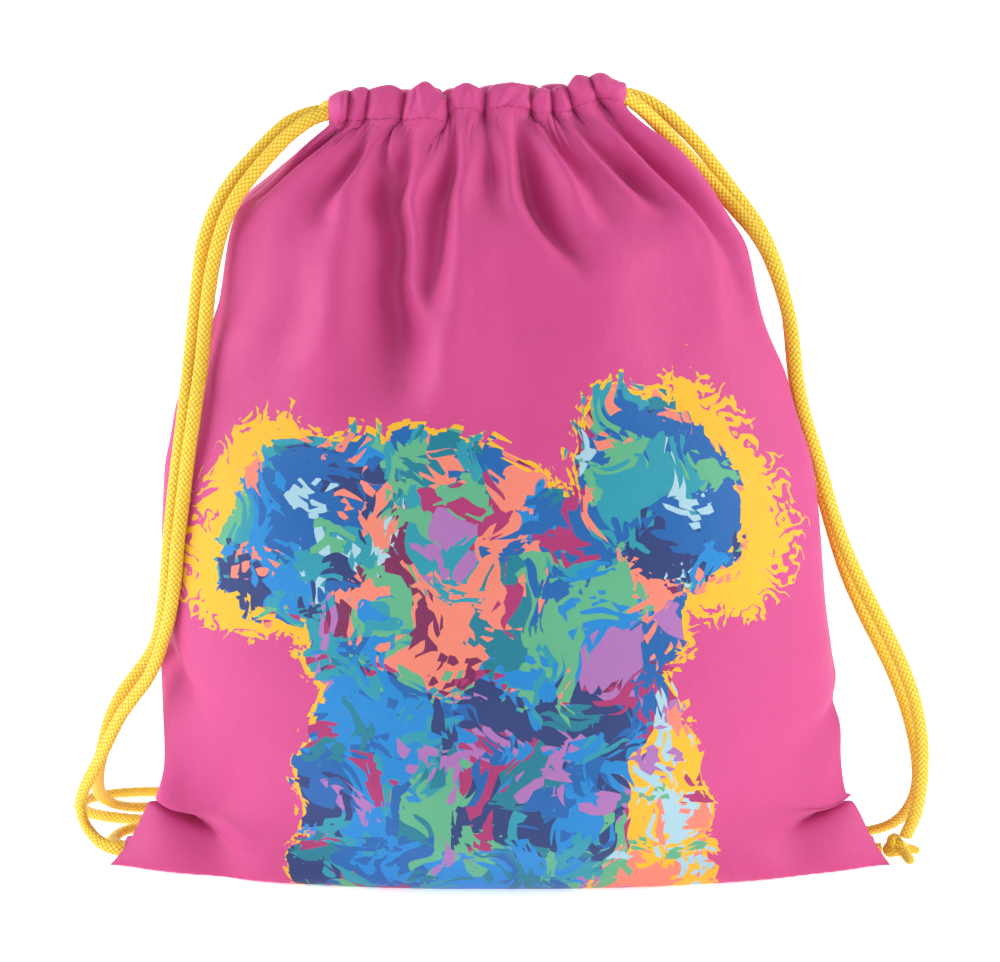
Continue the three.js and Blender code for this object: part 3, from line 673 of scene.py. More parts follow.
# Folds of the filled bag on the flat cloth: (side, [(u, v, depth, half width), ...]) in mm. A negative depth is a ridge.
FOLDS = [
    (0, [(104, 404, 4, 5), (112, 380, 13, 8), (117, 350, 18, 10), (115, 325, 15, 12), (124, 298, 7, 17), (130, 262, 0, 22)]),
    (0, [(150, 404, 6, 5), (150, 372, 11, 8), (141, 340, 9, 11), (134, 305, 6, 15), (132, 270, 0, 20)]),
    (0, [(206, 404, 6, 5), (205, 368, 15, 8), (210, 348, 16, 10), (219, 335, 9, 9), (227, 327, 0, 8)]),
    (0, [(225, 404, 5, 4), (237, 385, 10, 7), (246, 366, 6, 9), (250, 348, 0, 9)]),
    (0, [(262, 404, 6, 4), (272, 385, 9, 6), (284, 366, 9, 8), (294, 348, 0, 9)]),
    (0, [(298, 404, 6, 5), (306, 376, 11, 8), (318, 345, 9, 10), (316, 316, 5, 14), (308, 282, 0, 18)]),
    (0, [(60, 404, 5, 4), (72, 384, 10, 7), (72, 366, 5, 8), (70, 345, 0, 9)]),
    (0, [(36, 404, 4, 5), (26, 388, 8, 7), (18, 374, 5, 9), (14, 350, 0, 12)]),
    (0, [(84, 404, 5, 4), (92, 386, 10, 6), (104, 370, 8, 7), (113, 356, 0, 8)]),
    (0, [(178, 404, 4, 5), (180, 380, 6, 8), (178, 352, 0, 11)]),
    (0, [(180, 340, 0, 16), (182, 310, 2.5, 22), (186, 270, 2.5, 26), (190, 230, 0, 28)]),
    (0, [(250, 330, 0, 16), (258, 300, 2.5, 20), (256, 262, 2, 24), (250, 230, 0, 26)]),
    (0, [(70, 330, 0, 14), (72, 300, 3, 20), (66, 262, 2.5, 24), (60, 230, 0, 26)]),
    (0, [(90, 345, 0, -14), (92, 320, -3, 14), (96, 280, -2.5, 20), (98, 240, 0, 24)]),
    (0, [(0, 60, 11, 13), (14, 52, 12, 12), (30, 41, 9, 11), (46, 30, 5, 10), (60, 20, 0, 9)]),
    (1, [(0, 60, 11, 13), (18, 57, 9, 12), (44, 50, 4, 14), (70, 44, 0, 16)]),
    (0, [(340, 51, 9, 11), (324, 45, 8, 11), (304, 36, 5, 10), (288, 27, 0, 9)]),
    (1, [(340, 51, 9, 11), (320, 48, 7, 11), (296, 43, 4, 12), (276, 38, 0, 14)]),
    (0, [(4, 165, 3, 5), (14, 150, 4, 6), (26, 134, 1, 8), (40, 112, 0, 10)]),
    (0, [(60, 120, 0, 14), (42, 92, 2.5, 16), (30, 66, 3, 14), (24, 50, 0, 12)]),
    (1, [(0, 158, 3, 6), (20, 160, 3, 8), (46, 166, 0, 10)]),
    (0, [(340, 128, 3, 6), (326, 120, 3, 7), (310, 106, 2, 10), (296, 90, 0, 12)]),
    (1, [(340, 128, 3, 6), (322, 130, 3, 8), (300, 136, 0, 10)]),
    (1, [(12, 120, 0, 9), (14, 100, -6, 9), (14, 84, -6, 9), (16, 66, 0, 10)]),
    (1, [(328, 96, 0, 9), (327, 84, -4, 8), (326, 70, 0, 8)]),
    (1, [(14, 276, 0, 10), (16, 250, -5, 11), (16, 225, -5, 11), (14, 205, 0, 10)]),
    (1, [(48, 404, 5, 5), (52, 376, 12, 9), (44, 340, 9, 12), (40, 290, 0, 16)]),
    (1, [(104, 404, 5, 5), (112, 374, 14, 9), (120, 336, 12, 12), (118, 296, 5, 16), (120, 256, 0, 20)]),
    (1, [(158, 404, 5, 5), (160, 380, 8, 8), (168, 350, 0, 10)]),
    (1, [(206, 404, 5, 5), (200, 370, 15, 9), (192, 334, 11, 12), (190, 296, 4, 16), (192, 264, 0, 20)]),
    (1, [(246, 404, 5, 5), (250, 382, 9, 8), (246, 352, 0, 10)]),
    (1, [(292, 404, 5, 5), (296, 372, 12, 9), (304, 336, 9, 12), (306, 290, 0, 16)]),
]


# Which flank of a fold is the steep one: 1 the right, -1 the left, 0 neither.
STEEP = [1, 1, -1, -1, -1, -1, 1, 1, 1]


def fold_field(nu, nv):
    """Depth of the folds at each point of both panels, and how much each point belongs to one."""
    u = np.linspace(0, CUT_W, nu)[:, None] * np.ones((nu, nv))
    v = np.linspace(0, STITCH_V, nv)[None] * np.ones((nu, nv))
    depth, share = np.zeros((2, nu, nv)), np.zeros((2, nu, nv))
    for number, (side, pts) in enumerate(FOLDS):
        steep = STEEP[number] if number < len(STEEP) else 0
        p = catmull([(a[0], a[1], 0) for a in pts], 3.0)[:, :2]
        t = np.linspace(0, 1, len(p))
        tk = np.linspace(0, 1, len(pts))
        dk, wk = np.interp(t, tk, [a[2] for a in pts]), np.abs(np.interp(t, tk, [abs(a[3]) for a in pts]))
        dist = np.hypot(u[..., None] - p[:, 0], v[..., None] - p[:, 1])
        j = dist.argmin(-1)
        m = np.take_along_axis(dist, j[..., None], -1)[..., 0]
        d, w = dk[j], wk[j]
        tan = unit(np.gradient(p, axis=0))[j]
        aside = tan[..., 0] * (v - p[j, 1]) - tan[..., 1] * (u - p[j, 0])
        w = w * (1 - 0.42 * steep * np.tanh(aside / (0.35 * w)))
        depth[side] += d * np.exp(-(m / w) ** 1.6) - 0.30 * d * np.exp(-((m - 1.9 * w) / (0.9 * w)) ** 2)
        share[side] = np.maximum(share[side], np.exp(-(m / (2.2 * w)) ** 2) * np.clip(np.abs(d) / 4, 0, 1))
    for side in range(2):        # slow waves of loosely filled cloth
        ph = 0.7 + 2.1 * side
        grow = np.interp(v, [0, 60, 150, 300, 380, 404], [0, 0.25, 0.6, 1.0, 1.0, 0.3])
        depth[side] += grow * (1.3 * np.sin(u / 14.5 + 0.9 * np.sin(v / 60 + ph) + ph) + 1.0 * np.sin(u / 24 - v / 70 + 2 * ph))
    return depth, share


# Where the seam lies further forward than the widest point: side, height range on the seam, shift in x and y.
SEAM_SHIFTS = [(0, 100, 26, 6.0, -13.0), (0, 240, 30, 5.0, -12.0), (1, 90, 22, -1.5, -4.0), (1, 300, 22, -4.0, -7.0)]


def outward(B):
    tu, tv = np.gradient(B, axis=1), np.gradient(B, axis=2)
    n = unit(np.cross(tu, tv))
    n[1] *= -1
    for sl in (0, -1):           # on the seam both panels face sideways
        n[:, sl] = unit(n[:, sl] * (1, 0, 1))
    return n


def with_folds(lo, nu, nv):
    depth, share = fold_field(nu, nv)
    near = np.clip((STITCH_V - np.linspace(0, STITCH_V, nv)) / 30, 0, 1)[None, None]
    own = lo - outward(lo) * (depth * near)[..., None]
    u = np.linspace(0, CUT_W, nu)[:, None]
    v = np.linspace(0, STITCH_V, nv)[None]
    for right, vc, half, dx, dy in SEAM_SHIFTS:
        e = np.exp(-((u - CUT_W * right) / 16) ** 2) * np.exp(-((v - vc) / half) ** 2)
        own[..., 0] += dx * e
        own[..., 1] += dy * e
    for sl in (0, -1):
        m = own[:, sl].mean(0)
        own[0, sl] = m
        own[1, sl] = m
    return own, share


HEMS = hem_tables()
FS = np.array(FRONT_STITCH)
FT = np.array(FRONT_TOP)
cord_pts = np.vstack([l[::2] for l in cord_lines.values()])
cord_pts = cord_pts[cord_pts[:, 2] < 318]


def settle(G, iters, k_low, blur, pressure, k_bend, gravity, gap):
    rows = hem_rows(G.nu)
    lo, start = targets(G.nu, G.nv, rows)
    own, share = with_folds(lo, G.nu, G.nv)
    if G.P is None:
        w = np.clip((np.linspace(0, STITCH_V, G.nv) - 335) / (STITCH_V - 335), 0, 1) ** 1.5
        G.P = own.copy()
        for side, H in enumerate(rows):
            G.P[side] += (H - lo[side][:, -1])[:, None, :] * w[None, :, None]
        G.V = np.zeros_like(G.P)
    vv = np.linspace(0, STITCH_V, G.nv)
    zz = lo[..., 2:3] * np.ones(lo.shape)
    kb = k_low * np.interp(zz, [0, 160, 230, 300, 330], [1, 1, 0.9, 0.7, 0.3])
    ko = (0.01 + 0.11 * share[..., None]) * np.ones(lo.shape) * np.interp(vv, [0, 370, 400], [1, 1, 0.15])[None, None, :, None]
    ko[:, [0, -1]] = 0.12
    solve(G, iters, rows, lo, kb, pressure, k_bend, gravity, own=own, k_own=ko, blur=blur, cords=(cord_pts, gap),
          kc_u=np.interp(vv, [0, 200, 280, 380, 404], KC_U), kc_v=np.interp(vv, [0, 30, 90, 404], KC_V))


KC_U = [0.0, 0.0, 0.0, 0.02, 0.1]
KC_V = [0.0, 0.01, 0.0, 0.0]
G = Grid(86, 102, None)
settle(G, 220, 0.05, 8, 0.03, 0.12, 0.006, 3.4)
G = refine(G)
settle(G, 50, 0.02, 16, 0.012, 0.08, 0.003, 3.2)

# ------------------------------------------------------------ the hem casing
# height fraction, share of the pleat depth, offset out (+) or in (-) of the cords, flat distance past the stitch line
CASING_ROWS = [
    (0.10, 0.96, 0.32, 1.6), (0.26, 0.88, 0.80, 3.8), (0.45, 0.82, 1.0, 6.5), (0.63, 0.80, 1.0, 9.0),
    (0.80, 0.78, 0.86, 11.5), (0.93, 0.72, 0.48, 14.0), (1.0, 0.6, 0.0, 16.0), (0.95, 0.36, -0.5, 18.0),
    (0.82, 0.28, -0.86, 20.5), (0.62, 0.22, -1.0, 23.0), (0.38, 0.25, -0.9, 26.0), (0.15, 0.50, -0.5, 29.0),
    (0.01, 0.82, -0.14, 32.0), (-0.22, 0.92, -0.16, 36.0),
]


CREASES = [np.stack([np.linspace(HEM_L + 4, HEM_R - 4, 17) + rng.uniform(-2.4, 2.4, 17), rng.uniform(-9, 9, 17),
                     rng.uniform(0.9, 1.9, 17), rng.uniform(0.9, 1.9, 17) * rng.choice([-0.6, 1.0], 17)], 1) for _ in range(2)]


SLANT_X = np.linspace(HEM_L, HEM_R, 9)
SLANTS = [-0.055 * (SLANT_X + 10) + rng.uniform(-1.6, 1.6, 9) for _ in range(2)]


def cord_inset(x):
    """How far inside the line of the hem the cords run in the casing."""
    return np.minimum(5.2, hem_y(x) - 3.9)


def soften(x, z):
    """A hem level through measured points, without corners."""
    fine = np.linspace(HEM_L - 6, HEM_R + 6, 273)
    k = np.exp(-0.5 * (np.arange(-12, 13) * 0.5 / 1.7) ** 2)
    s = np.convolve(np.pad(np.interp(fine, x, z), 12, mode="edge"), k / k.sum(), "valid")
    return lambda q: np.interp(q, fine, s)


def casing(side, nu):
    edges, depths, leans = HEMS[side]
    x, r, amp = pleat_path(edges, depths, leans, nu)
    s = -1 if side == 0 else 1
    zs = np.interp(x, FS[:, 0], FS[:, 1])
    zt = soften(FT[:, 0], FT[:, 1] + 0.5)(x)
    if side == 1:
        wob = np.interp(x, np.linspace(HEM_L, HEM_R, 12), WOB)
        zs, zt = zs - 2.5, np.interp(x, np.linspace(HEM_L, HEM_R, 12), TOPB) + wob + 0.10 * r
    zt = np.maximum(zt, zs + 8.5) + 0.12 * r
    out = []
    creases = CREASES[side]
    for f, k, e, fl in CASING_ROWS:
        back = cord_inset(x)
        off = k * r + (e * (7.0 - back) if e > 0 else e * np.minimum(0.22 * amp + 2.4 + back, hem_y(x) - 0.8))
        off = off - 0.40 * f * k * r
        if e > 0.25:
            off = off + sum(h * np.exp(-((x - xc - t * (f - 0.4)) / w) ** 2) for xc, t, w, h in creases)
        if e > 0.25:                              # room for the cords between the two walls
            off = np.maximum(off, 3.4 - back)
        elif e < -0.4:
            off = np.minimum(off, -3.3 - back)
        tuck = 1 - 0.35 * np.clip(1 - np.minimum(x - HEM_L, HEM_R - x) / 7, 0, 1) ** 2
        z = zs + f * (zt - zs) + (0.35 * r / amp * (f > 0.3))
        xf = x + f * np.clip(np.minimum(x - HEM_L, HEM_R - x) / 12, 0, 1) * np.interp(x, SLANT_X, SLANTS[side])
        out.append(np.stack([xf, s * np.maximum(hem_y(x) + np.where(off > 0, off * tuck, off), 0.45), z], 1))
    return np.stack(out, 1)          # [nu, rows, 3]


WOB = rng.uniform(-1.3, 1.3, 12)
TOPB = np.interp(np.linspace(HEM_L, HEM_R, 12), [HEM_L, -40, 0, HEM_R], [331.5, 335.0, 336.0, 336.5])


def grid_normals(S):
    tu, tv = np.gradient(S, axis=0), np.gradient(S, axis=1)
    return unit(np.cross(tu, tv))


def cloth_object(name, S, flat_v, side, thick=0.32):
    """A closed thin sheet from a surface grid S [nu, nr, 3]; outer face first, then inner."""
    nu, nr = S.shape[:2]
    n = grid_normals(S) * (1 if side == 0 else -1)
    uu = np.linspace(0, CUT_W, nu)
    if side == 1:
        uu = CUT_W - uu
    U = np.zeros((nu, nr, 2))
    U[:, :, 0] = uu[:, None] / 460
    U[:, :, 1] = np.asarray(flat_v)[None] / 460
    out, inn = S + n * thick / 2, S - n * thick / 2
    V = np.concatenate([out.reshape(-1, 3), inn.reshape(-1, 3)])
    UV = np.concatenate([U.reshape(-1, 2)] * 2)
    ids = np.arange(nu * nr).reshape(nu, nr)
    a, b, c, d = ids[:-1, :-1].ravel(), ids[1:, :-1].ravel(), ids[1:, 1:].ravel(), ids[:-1, 1:].ravel()
    m = nu * nr
    fo = np.stack([a, b, c, d], 1) if side == 0 else np.stack([a, d, c, b], 1)
    fi = fo[:, ::-1] + m
    rim = np.concatenate([ids[:, 0], ids[-1, 1:], ids[-2::-1, -1], ids[0, -2:0:-1]])
    r2 = np.roll(rim, -1)
    fr = np.stack([rim, rim + m, r2 + m, r2], 1) if side == 0 else np.stack([rim, r2, r2 + m, rim + m], 1)
    F = np.concatenate([fo, fi, fr])
    ob = make_mesh(name, V, F, UV)
    mats = np.zeros(len(F), np.int32)
    mats[len(fo):] = 1
    return ob, mats


NU, NV = G.nu, G.nv
flat_v = np.concatenate([np.linspace(0, STITCH_V, NV), STITCH_V + np.array([c[3] for c in CASING_ROWS])])
surfaces, cloths, cloth_mats = [], [], []
for side, name in enumerate(("front_panel", "back_panel")):
    S = np.concatenate([G.P[side], casing(side, NU)], 1)
    surfaces.append(S)
    ob, mats = cloth_object(name + "_cloth", S, flat_v, side)
    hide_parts(name, name.replace("panel", "hem_casing"))
    cloths.append(ob)
    cloth_mats.append(mats)


# ------------------------------------------------------------------ stitches
def thread_run(line, normal, stitch, gap, radius, sides=6):
    """Stitches along a line on a surface: short threads that dip in at both ends."""
    d = np.concatenate([[0], np.cumsum(np.linalg.norm(np.diff(line, axis=0), axis=1))])
    parts, s = [], gap
    while s + stitch < d[-1]:
        t = np.linspace(s, s + stitch, 5)
        p = np.stack([np.interp(t, d, line[:, k]) for k in range(3)], 1)
        n = unit(np.stack([np.interp(t, d, normal[:, k]) for k in range(3)], 1))
        lift = radius * np.array([-0.9, 0.55, 0.8, 0.55, -0.9])
        p = p + n * (0.16 + lift)[:, None]
        T = tangents(p)
        B = unit(np.cross(T, n))
        parts.append(tube(p, 2 * radius, 2 * radius, n, B, sides))
        s += stitch + gap
    return merge_parts(parts)


stitch_objects = []
for side, name in enumerate(("front_hem_stitching", "back_hem_stitching")):
    S = surfaces[side]
    n = grid_normals(S) * (1 if side == 0 else -1)
    V, F, U = thread_run(S[:, NV - 1], n[:, NV - 1], 2.5, 0.7, 0.27)
    ob = make_mesh(name + "_thread", V, F, U)
    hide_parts(name)
    stitch_objects.append(ob)


# ---------------------------------------------------------------- side seams
def seam_allowance(name, line, inward, nodes):
    """Folded, overlocked seam allowance inside the bag: a flat strip with a wavy free edge and looping threads."""
    n = len(line)
    d = np.concatenate([[0], np.cumsum(np.linalg.norm(np.diff(line, axis=0), axis=1))])
    cols = [0.6, 2.4, 4.4, 6.4, 8.0]
    wav = 0.25 * np.sin(d / 9.0) + 0.15 * np.sin(d / 3.7 + 1)
    sway = 0.35 * np.sin(d / 23.0 + 0.6)
    A = np.zeros((n, 2 * len(cols), 3))
    for k, c in enumerate(cols):
        off = inward * (c + (wav * c / 8)[:, None])
        y = np.zeros((n, 3))
        y[:, 1] = (sway * c / 8)
        t = 0.42 if k < 4 else 0.3
        A[:, k] = line + off + y + np.array([0, -t, 0])
        A[:, 2 * len(cols) - 1 - k] = line + off + y + np.array([0, t, 0])
    m = A.shape[1]
    V = A.reshape(-1, 3)
    F = []
    for i in range(n - 1):
        for k in range(m):
            k2 = (k + 1) % m
            F.append((i * m + k, (i + 1) * m + k, (i + 1) * m + k2, i * m + k2))
    F.append(tuple(range(m)))
    F.append(tuple(range((n - 1) * m + m - 1, (n - 1) * m - 1, -1)))
    U = np.zeros((n, m, 2))
    U[:, :, 0] = np.array(cols + cols[::-1])[None] / 460
    U[:, :, 1] = d[:, None] / 460
    parts = [(V, F, U.reshape(-1, 2))]
    # overlock loops round the free edge
    t = np.arange(0, d[-1], 0.45)
    k = np.arange(len(t))
    c = np.where(k % 4 == 0, 4.6, np.where(k % 4 == 2, 4.6, 8.35))
    yy = np.where(k % 4 == 0, -0.62, np.where(k % 4 == 2, 0.62, 0.0))
    p = np.stack([np.interp(t, d, line[:, j]) for j in range(3)], 1)
    inw = np.stack([np.interp(t, d, inward[:, j]) for j in range(3)], 1)
    w = np.interp(t, d, wav)
    sy = np.interp(t, d, sway)
    p = p + inw * (c + w * c / 8)[:, None]
    p[:, 1] += yy + sy * c / 8
    T = tangents(p)
    side = unit(np.cross(T, np.array([0.1, 1, 0.2])))
    parts.append(tube(p, 0.42, 0.42, side, np.cross(T, side), 5))
    V, F, U = merge_parts(parts)
    ob = make_mesh(name, V, F, U)
    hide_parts(*nodes)
    return ob


def resample(line, step):
    d = np.concatenate([[0], np.cumsum(np.linalg.norm(np.diff(line, axis=0), axis=1))])
    t = np.linspace(0, d[-1], int(d[-1] / step) + 1)
    return np.stack([np.interp(t, d, line[:, k]) for k in range(3)], 1)


seams = []
for name, col, sx in (("left_side_seam", 0, 1.0), ("right_side_seam", -1, -1.0)):
    line = G.P[0][col, 58:NV - 8]
    line = resample(running_mean(line, 2), 3.0)
    T = tangents(line)
    inward = unit(np.cross(T, np.array([0, 1.0, 0])) * sx)
    if inward[len(inward) // 2, 0] * sx < 0:
        inward = -inward
    seams.append(seam_allowance(name, line, inward, [name]))
line = G.P[0][12:-12, 0].copy()
line[:, 1] = 0
line[:, 2] = 0.8
line = resample(running_mean(line, 2), 3.0)
seams.append(seam_allowance("bottom_seam", line, np.tile([0, 0, 1.0], (len(line), 1)), ["bottom_seam"]))


# -------------------------------------------------------------- corner loops
def corner_loop(name, sx):
    """Folded tape loop: both ends sewn into the corner, the fold standing open behind it."""
    y0, y1, z0, z1, t = 3.0, 19.0, 1.1, 8.8, 0.8
    cy, cz, hy, hz = (y0 + y1) / 2, (z0 + z1) / 2, (y1 - y0) / 2, (z1 - z0) / 2
    n, cols = 72, 9
    th = np.linspace(0, 2 * math.pi, n, endpoint=False)
    ring = np.stack([cy + hy * np.sign(np.cos(th)) * np.abs(np.cos(th)) ** 0.75, cz + hz * np.sign(np.sin(th)) * np.abs(np.sin(th)) ** 0.75], 1)
    tg = unit(np.roll(ring, -1, 0) - np.roll(ring, 1, 0))
    nr = np.stack([tg[:, 1], -tg[:, 0]], 1)
    xs = np.linspace(156.2, 163.8, cols) * sx
    V, U = [], []
    for layer in (0.5, -0.5):
        for k, x in enumerate(xs):
            edge = 0.85 if k in (0, cols - 1) else 1.0
            bow = 0.25 * math.cos((k / (cols - 1) - 0.5) * math.pi)
            p = ring + nr * (layer * t * edge + bow * 0.3)
            V.append(np.stack([np.full(n, x), p[:, 0], p[:, 1]], 1))
            U.append(np.stack([np.full(n, k / cols * 8 / 460), np.arange(n) * 0.65 / 460], 1))
    V, U = np.concatenate(V), np.concatenate(U)
    F = []
    idx = lambda l, k, i: (l * cols + k) * n + i % n
    for i in range(n):
        for k in range(cols - 1):
            F.append((idx(0, k, i), idx(0, k, i + 1), idx(0, k + 1, i + 1), idx(0, k + 1, i)))
            F.append((idx(1, k, i), idx(1, k + 1, i), idx(1, k + 1, i + 1), idx(1, k, i + 1)))
        for k in (0, cols - 1):
            F.append((idx(0, k, i), idx(1, k, i), idx(1, k, i + 1), idx(0, k, i + 1)) if k == 0 else (idx(0, k, i), idx(0, k, i + 1), idx(1, k, i + 1), idx(1, k, i)))
    ob = make_mesh(name, V, F, U)
    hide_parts(name)
    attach(ob, "bag")
    return ob


loops = [corner_loop("left_corner_loop", -1), corner_loop("right_corner_loop", 1)]

# ---------------------------------------------------- cords inside the casing
runs = []


def casing_run(name, side, which):
    s = -1 if side == 0 else 1
    xs = np.linspace(-68.3, 48.3, 60)
    zs = np.interp(xs, FS[:, 0], FS[:, 1]) - (2.5 if side else 0)
    zt = np.interp(xs, FT[:, 0], FT[:, 1]) - (3.0 if side else 0)
    zt = np.maximum(zt, zs + 8.5)
    k = np.ones(7) / 7
    if which == "left":
        z = zs + 2.9
        z = np.where(xs < -60, 327.3 + (z - 327.3) * np.clip((xs + 68.3) / 8.3, 0, 1), z)
        y = hem_y(xs) - cord_inset(xs) + 0.3
        z = np.convolve(np.pad(z, 3, mode="edge"), k, "valid")
        z[0] = 327.3
    else:
        z = np.minimum(zt - 4.4, 335.2)
        z = np.min([np.roll(np.pad(z, 3, mode="edge"), j)[3:-3] for j in (-2, -1, 0, 1, 2)], axis=0)
        z = np.where(xs > 40, z + (334.6 - z) * np.clip((xs - 40) / 8.3, 0, 1), z)
        y = hem_y(xs) - cord_inset(xs) - 0.3
        z = np.convolve(np.pad(z, 3, mode="edge"), k, "valid")
        z[-1] = 334.6
    y = y + (6.0 - y) * np.clip(1 - np.minimum(xs + 68.3, 48.3 - xs) / 8, 0, 1)
    line = catmull(np.stack([xs, s * y, z], 1)[::3], 1.6)
    ob = tube_object(name, line, 5.4, 3.9, lambda p, t: np.array([0, 1.0, 0]), sides=12)
    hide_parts(name)
    return ob, line


run_lines = {}
for which in ("left", "right"):
    for side, word in ((0, "front"), (1, "back")):
        ob, line = casing_run(f"{which}_cord_{word}_run", side, which)
        runs.append((ob, side))
        run_lines[(which, side)] = line

bights = []
for which, end, sx in (("left", -1, 1), ("right", 0, -1)):
    a, b = run_lines[(which, 0)][end], run_lines[(which, 1)][end]
    m = (a + b) / 2
    pts = [a - np.array([sx * 2.0, 0, 0]), a, a + [sx * 3.4, 1.2, 0], m + [sx * 5.2, 0, 0], b + [sx * 3.4, -1.2, 0], b, b - np.array([sx * 2.0, 0, 0])]
    line = catmull(np.array(pts)[1:-1], 1.2)
    ob = tube_object(f"{which}_cord_bight", line, 5.2, 3.9, lambda p, t: np.array([0, 0, 1.0]), sides=12)
    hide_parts(f"{which}_cord_bight")
    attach(ob, "bag")
    bights.append(ob)


# ----------------------------------------------------------------- materials
def lin(r, g, b):
    f = lambda c: c / 12.92 if c <= 0.04045 else ((c + 0.055) / 1.055) ** 2.4
    return (f(r / 255), f(g / 255), f(b / 255), 1.0)


class Nodes:
    """Short calls for building a material's nodes."""

    def __init__(self, name):
        self.mat = bpy.data.materials.new(name)
        self.mat.use_nodes = True
        self.t = self.mat.node_tree
        self.bsdf = self.t.nodes["Principled BSDF"]

    def put(self, socket, value):
        if isinstance(value, bpy.types.NodeSocket):
            self.t.links.new(value, socket)
        else:
            socket.default_value = value

    def node(self, kind, out=0, props=None, **ins):
        n = self.t.nodes.new(kind)
        for k, v in (props or {}).items():
            setattr(n, k, v)
        for k, v in ins.items():
            key = int(k[1:]) if k[0] == "i" and k[1:].isdigit() else k.replace("_", " ")
            self.put(n.inputs[key], v)
        return n.outputs[out]

    def math(self, op, a, b=None, c=None):
        n = self.t.nodes.new("ShaderNodeMath")
        n.operation = op
        self.put(n.inputs[0], a)
        if b is not None:
            self.put(n.inputs[1], b)
        if c is not None:
            self.put(n.inputs[2], c)
        return n.outputs[0]

    def clamp01(self, a):
        n = self.t.nodes.new("ShaderNodeClamp")
        self.put(n.inputs[0], a)
        return n.outputs[0]

    def vmath(self, op, a, b=None, out=0, scale=None):
        n = self.t.nodes.new("ShaderNodeVectorMath")
        n.operation = op
        self.put(n.inputs[0], a)
        if b is not None:
            self.put(n.inputs[1], b)
        if scale is not None:
            self.put(n.inputs["Scale"], scale)
        return n.outputs[out]

    def uv(self, scale):
        u = self.node("ShaderNodeUVMap", props={"uv_map": "UVMap"})
        return self.vmath("MULTIPLY", u, scale)

    def xyz(self, v):
        n = self.t.nodes.new("ShaderNodeSeparateXYZ")
        self.put(n.inputs[0], v)
        return n.outputs

    def noise(self, v, scale, detail=2.0, rough=0.5, out=0, dims="2D"):
        return self.node("ShaderNodeTexNoise", out, {"noise_dimensions": dims}, Vector=v, Scale=scale, Detail=detail, Roughness=rough)

    def cells(self, v, scale, metric="EUCLIDEAN", out="Color", rand=1.0):
        n = self.t.nodes.new("ShaderNodeTexVoronoi")
        n.voronoi_dimensions = "2D"
        n.distance = metric
        self.put(n.inputs["Vector"], v)
        n.inputs["Scale"].default_value = scale
        n.inputs["Randomness"].default_value = rand
        return n.outputs[out] if isinstance(out, str) else [n.outputs[o] for o in out]

    def mix(self, f, a, b, kind="RGBA", blend="MIX"):
        n = self.t.nodes.new("ShaderNodeMix")
        n.data_type = kind
        if kind == "RGBA":
            n.blend_type = blend
            self.put(n.inputs[0], f)
            self.put(n.inputs[6], a)
            self.put(n.inputs[7], b)
            return n.outputs[2]
        self.put(n.inputs[0], f)
        self.put(n.inputs[2], a)
        self.put(n.inputs[3], b)
        return n.outputs[0]

    def ramp(self, f, stops, interp="CONSTANT"):
        n = self.t.nodes.new("ShaderNodeValToRGB")
        r = n.color_ramp
        r.interpolation = interp
        while len(r.elements) < len(stops):
            r.elements.new(1.0)
        for e, (p, c) in zip(r.elements, stops):
            e.position = p
            e.color = c
        self.put(n.inputs[0], f)
        return n.outputs[0]

    def bump(self, height, strength, distance, normal=None):
        n = self.t.nodes.new("ShaderNodeBump")
        n.inputs["Strength"].default_value = strength
        n.inputs["Distance"].default_value = distance
        self.put(n.inputs["Height"], height)
        if normal is not None:
            self.put(n.inputs["Normal"], normal)
        return n.outputs[0]

    def finish(self, color, rough, normal=None, sheen=0.0, sheen_rough=0.4, sheen_tint=(1, 1, 1, 1), spec=0.5, sub=0.0):
        self.put(self.bsdf.inputs["Base Color"], color)
        self.put(self.bsdf.inputs["Roughness"], rough)
        if normal is not None:
            self.put(self.bsdf.inputs["Normal"], normal)
        self.bsdf.inputs["Sheen Weight"].default_value = sheen
        self.bsdf.inputs["Sheen Roughness"].default_value = sheen_rough
        self.bsdf.inputs["Sheen Tint"].default_value = sheen_tint
        self.bsdf.inputs["Specular IOR Level"].default_value = spec
        return self.mat


PINK = lin(202, 64, 133)
BLUE, DEEP, NAVY = lin(0, 128, 200), lin(0, 92, 165), lin(28, 52, 112)
TEAL, GREEN, SEA = lin(28, 145, 165), lin(88, 170, 128), lin(0, 118, 140)
CORAL, YELLOW, LILAC = lin(232, 128, 108), lin(234, 178, 30), lin(165, 108, 175)
PLUM, WINE, PALE = lin(165, 40, 105), lin(118, 26, 82), lin(160, 200, 215)


def even(cols, bias=None):
    n = len(cols)
    return [(i / n, c) for i, c in enumerate(cols)]


def weave(m, p, normal=None, strength=0.35):
    """Fine plain weave, slack crumples of the cloth and a trace of yarn unevenness."""
    x, y, _ = m.xyz(p)
    wx = m.math("SINE", m.math("MULTIPLY", x, 2 * math.pi / 0.52))
    wy = m.math("SINE", m.math("MULTIPLY", y, 2 * math.pi / 0.46))
    h = m.math("MULTIPLY", wx, wy)
    slub = m.noise(m.vmath("MULTIPLY", p, (0.25, 3.0, 1)), 1.0, 2.0)
    slub2 = m.noise(m.vmath("MULTIPLY", p, (3.0, 0.22, 1)), 1.0, 2.0)
    h = m.math("ADD", h, m.math("MULTIPLY", m.math("ADD", slub, slub2), 0.8))
    crumple = m.noise(p, 0.055, 4.0, 0.55)
    n1 = m.bump(crumple, 0.30, 0.0018)
    n2 = m.bump(m.noise(p, 0.21, 3.0, 0.6), 0.18, 0.0005, n1)
    return m.bump(h, strength, 0.00006, n2), h


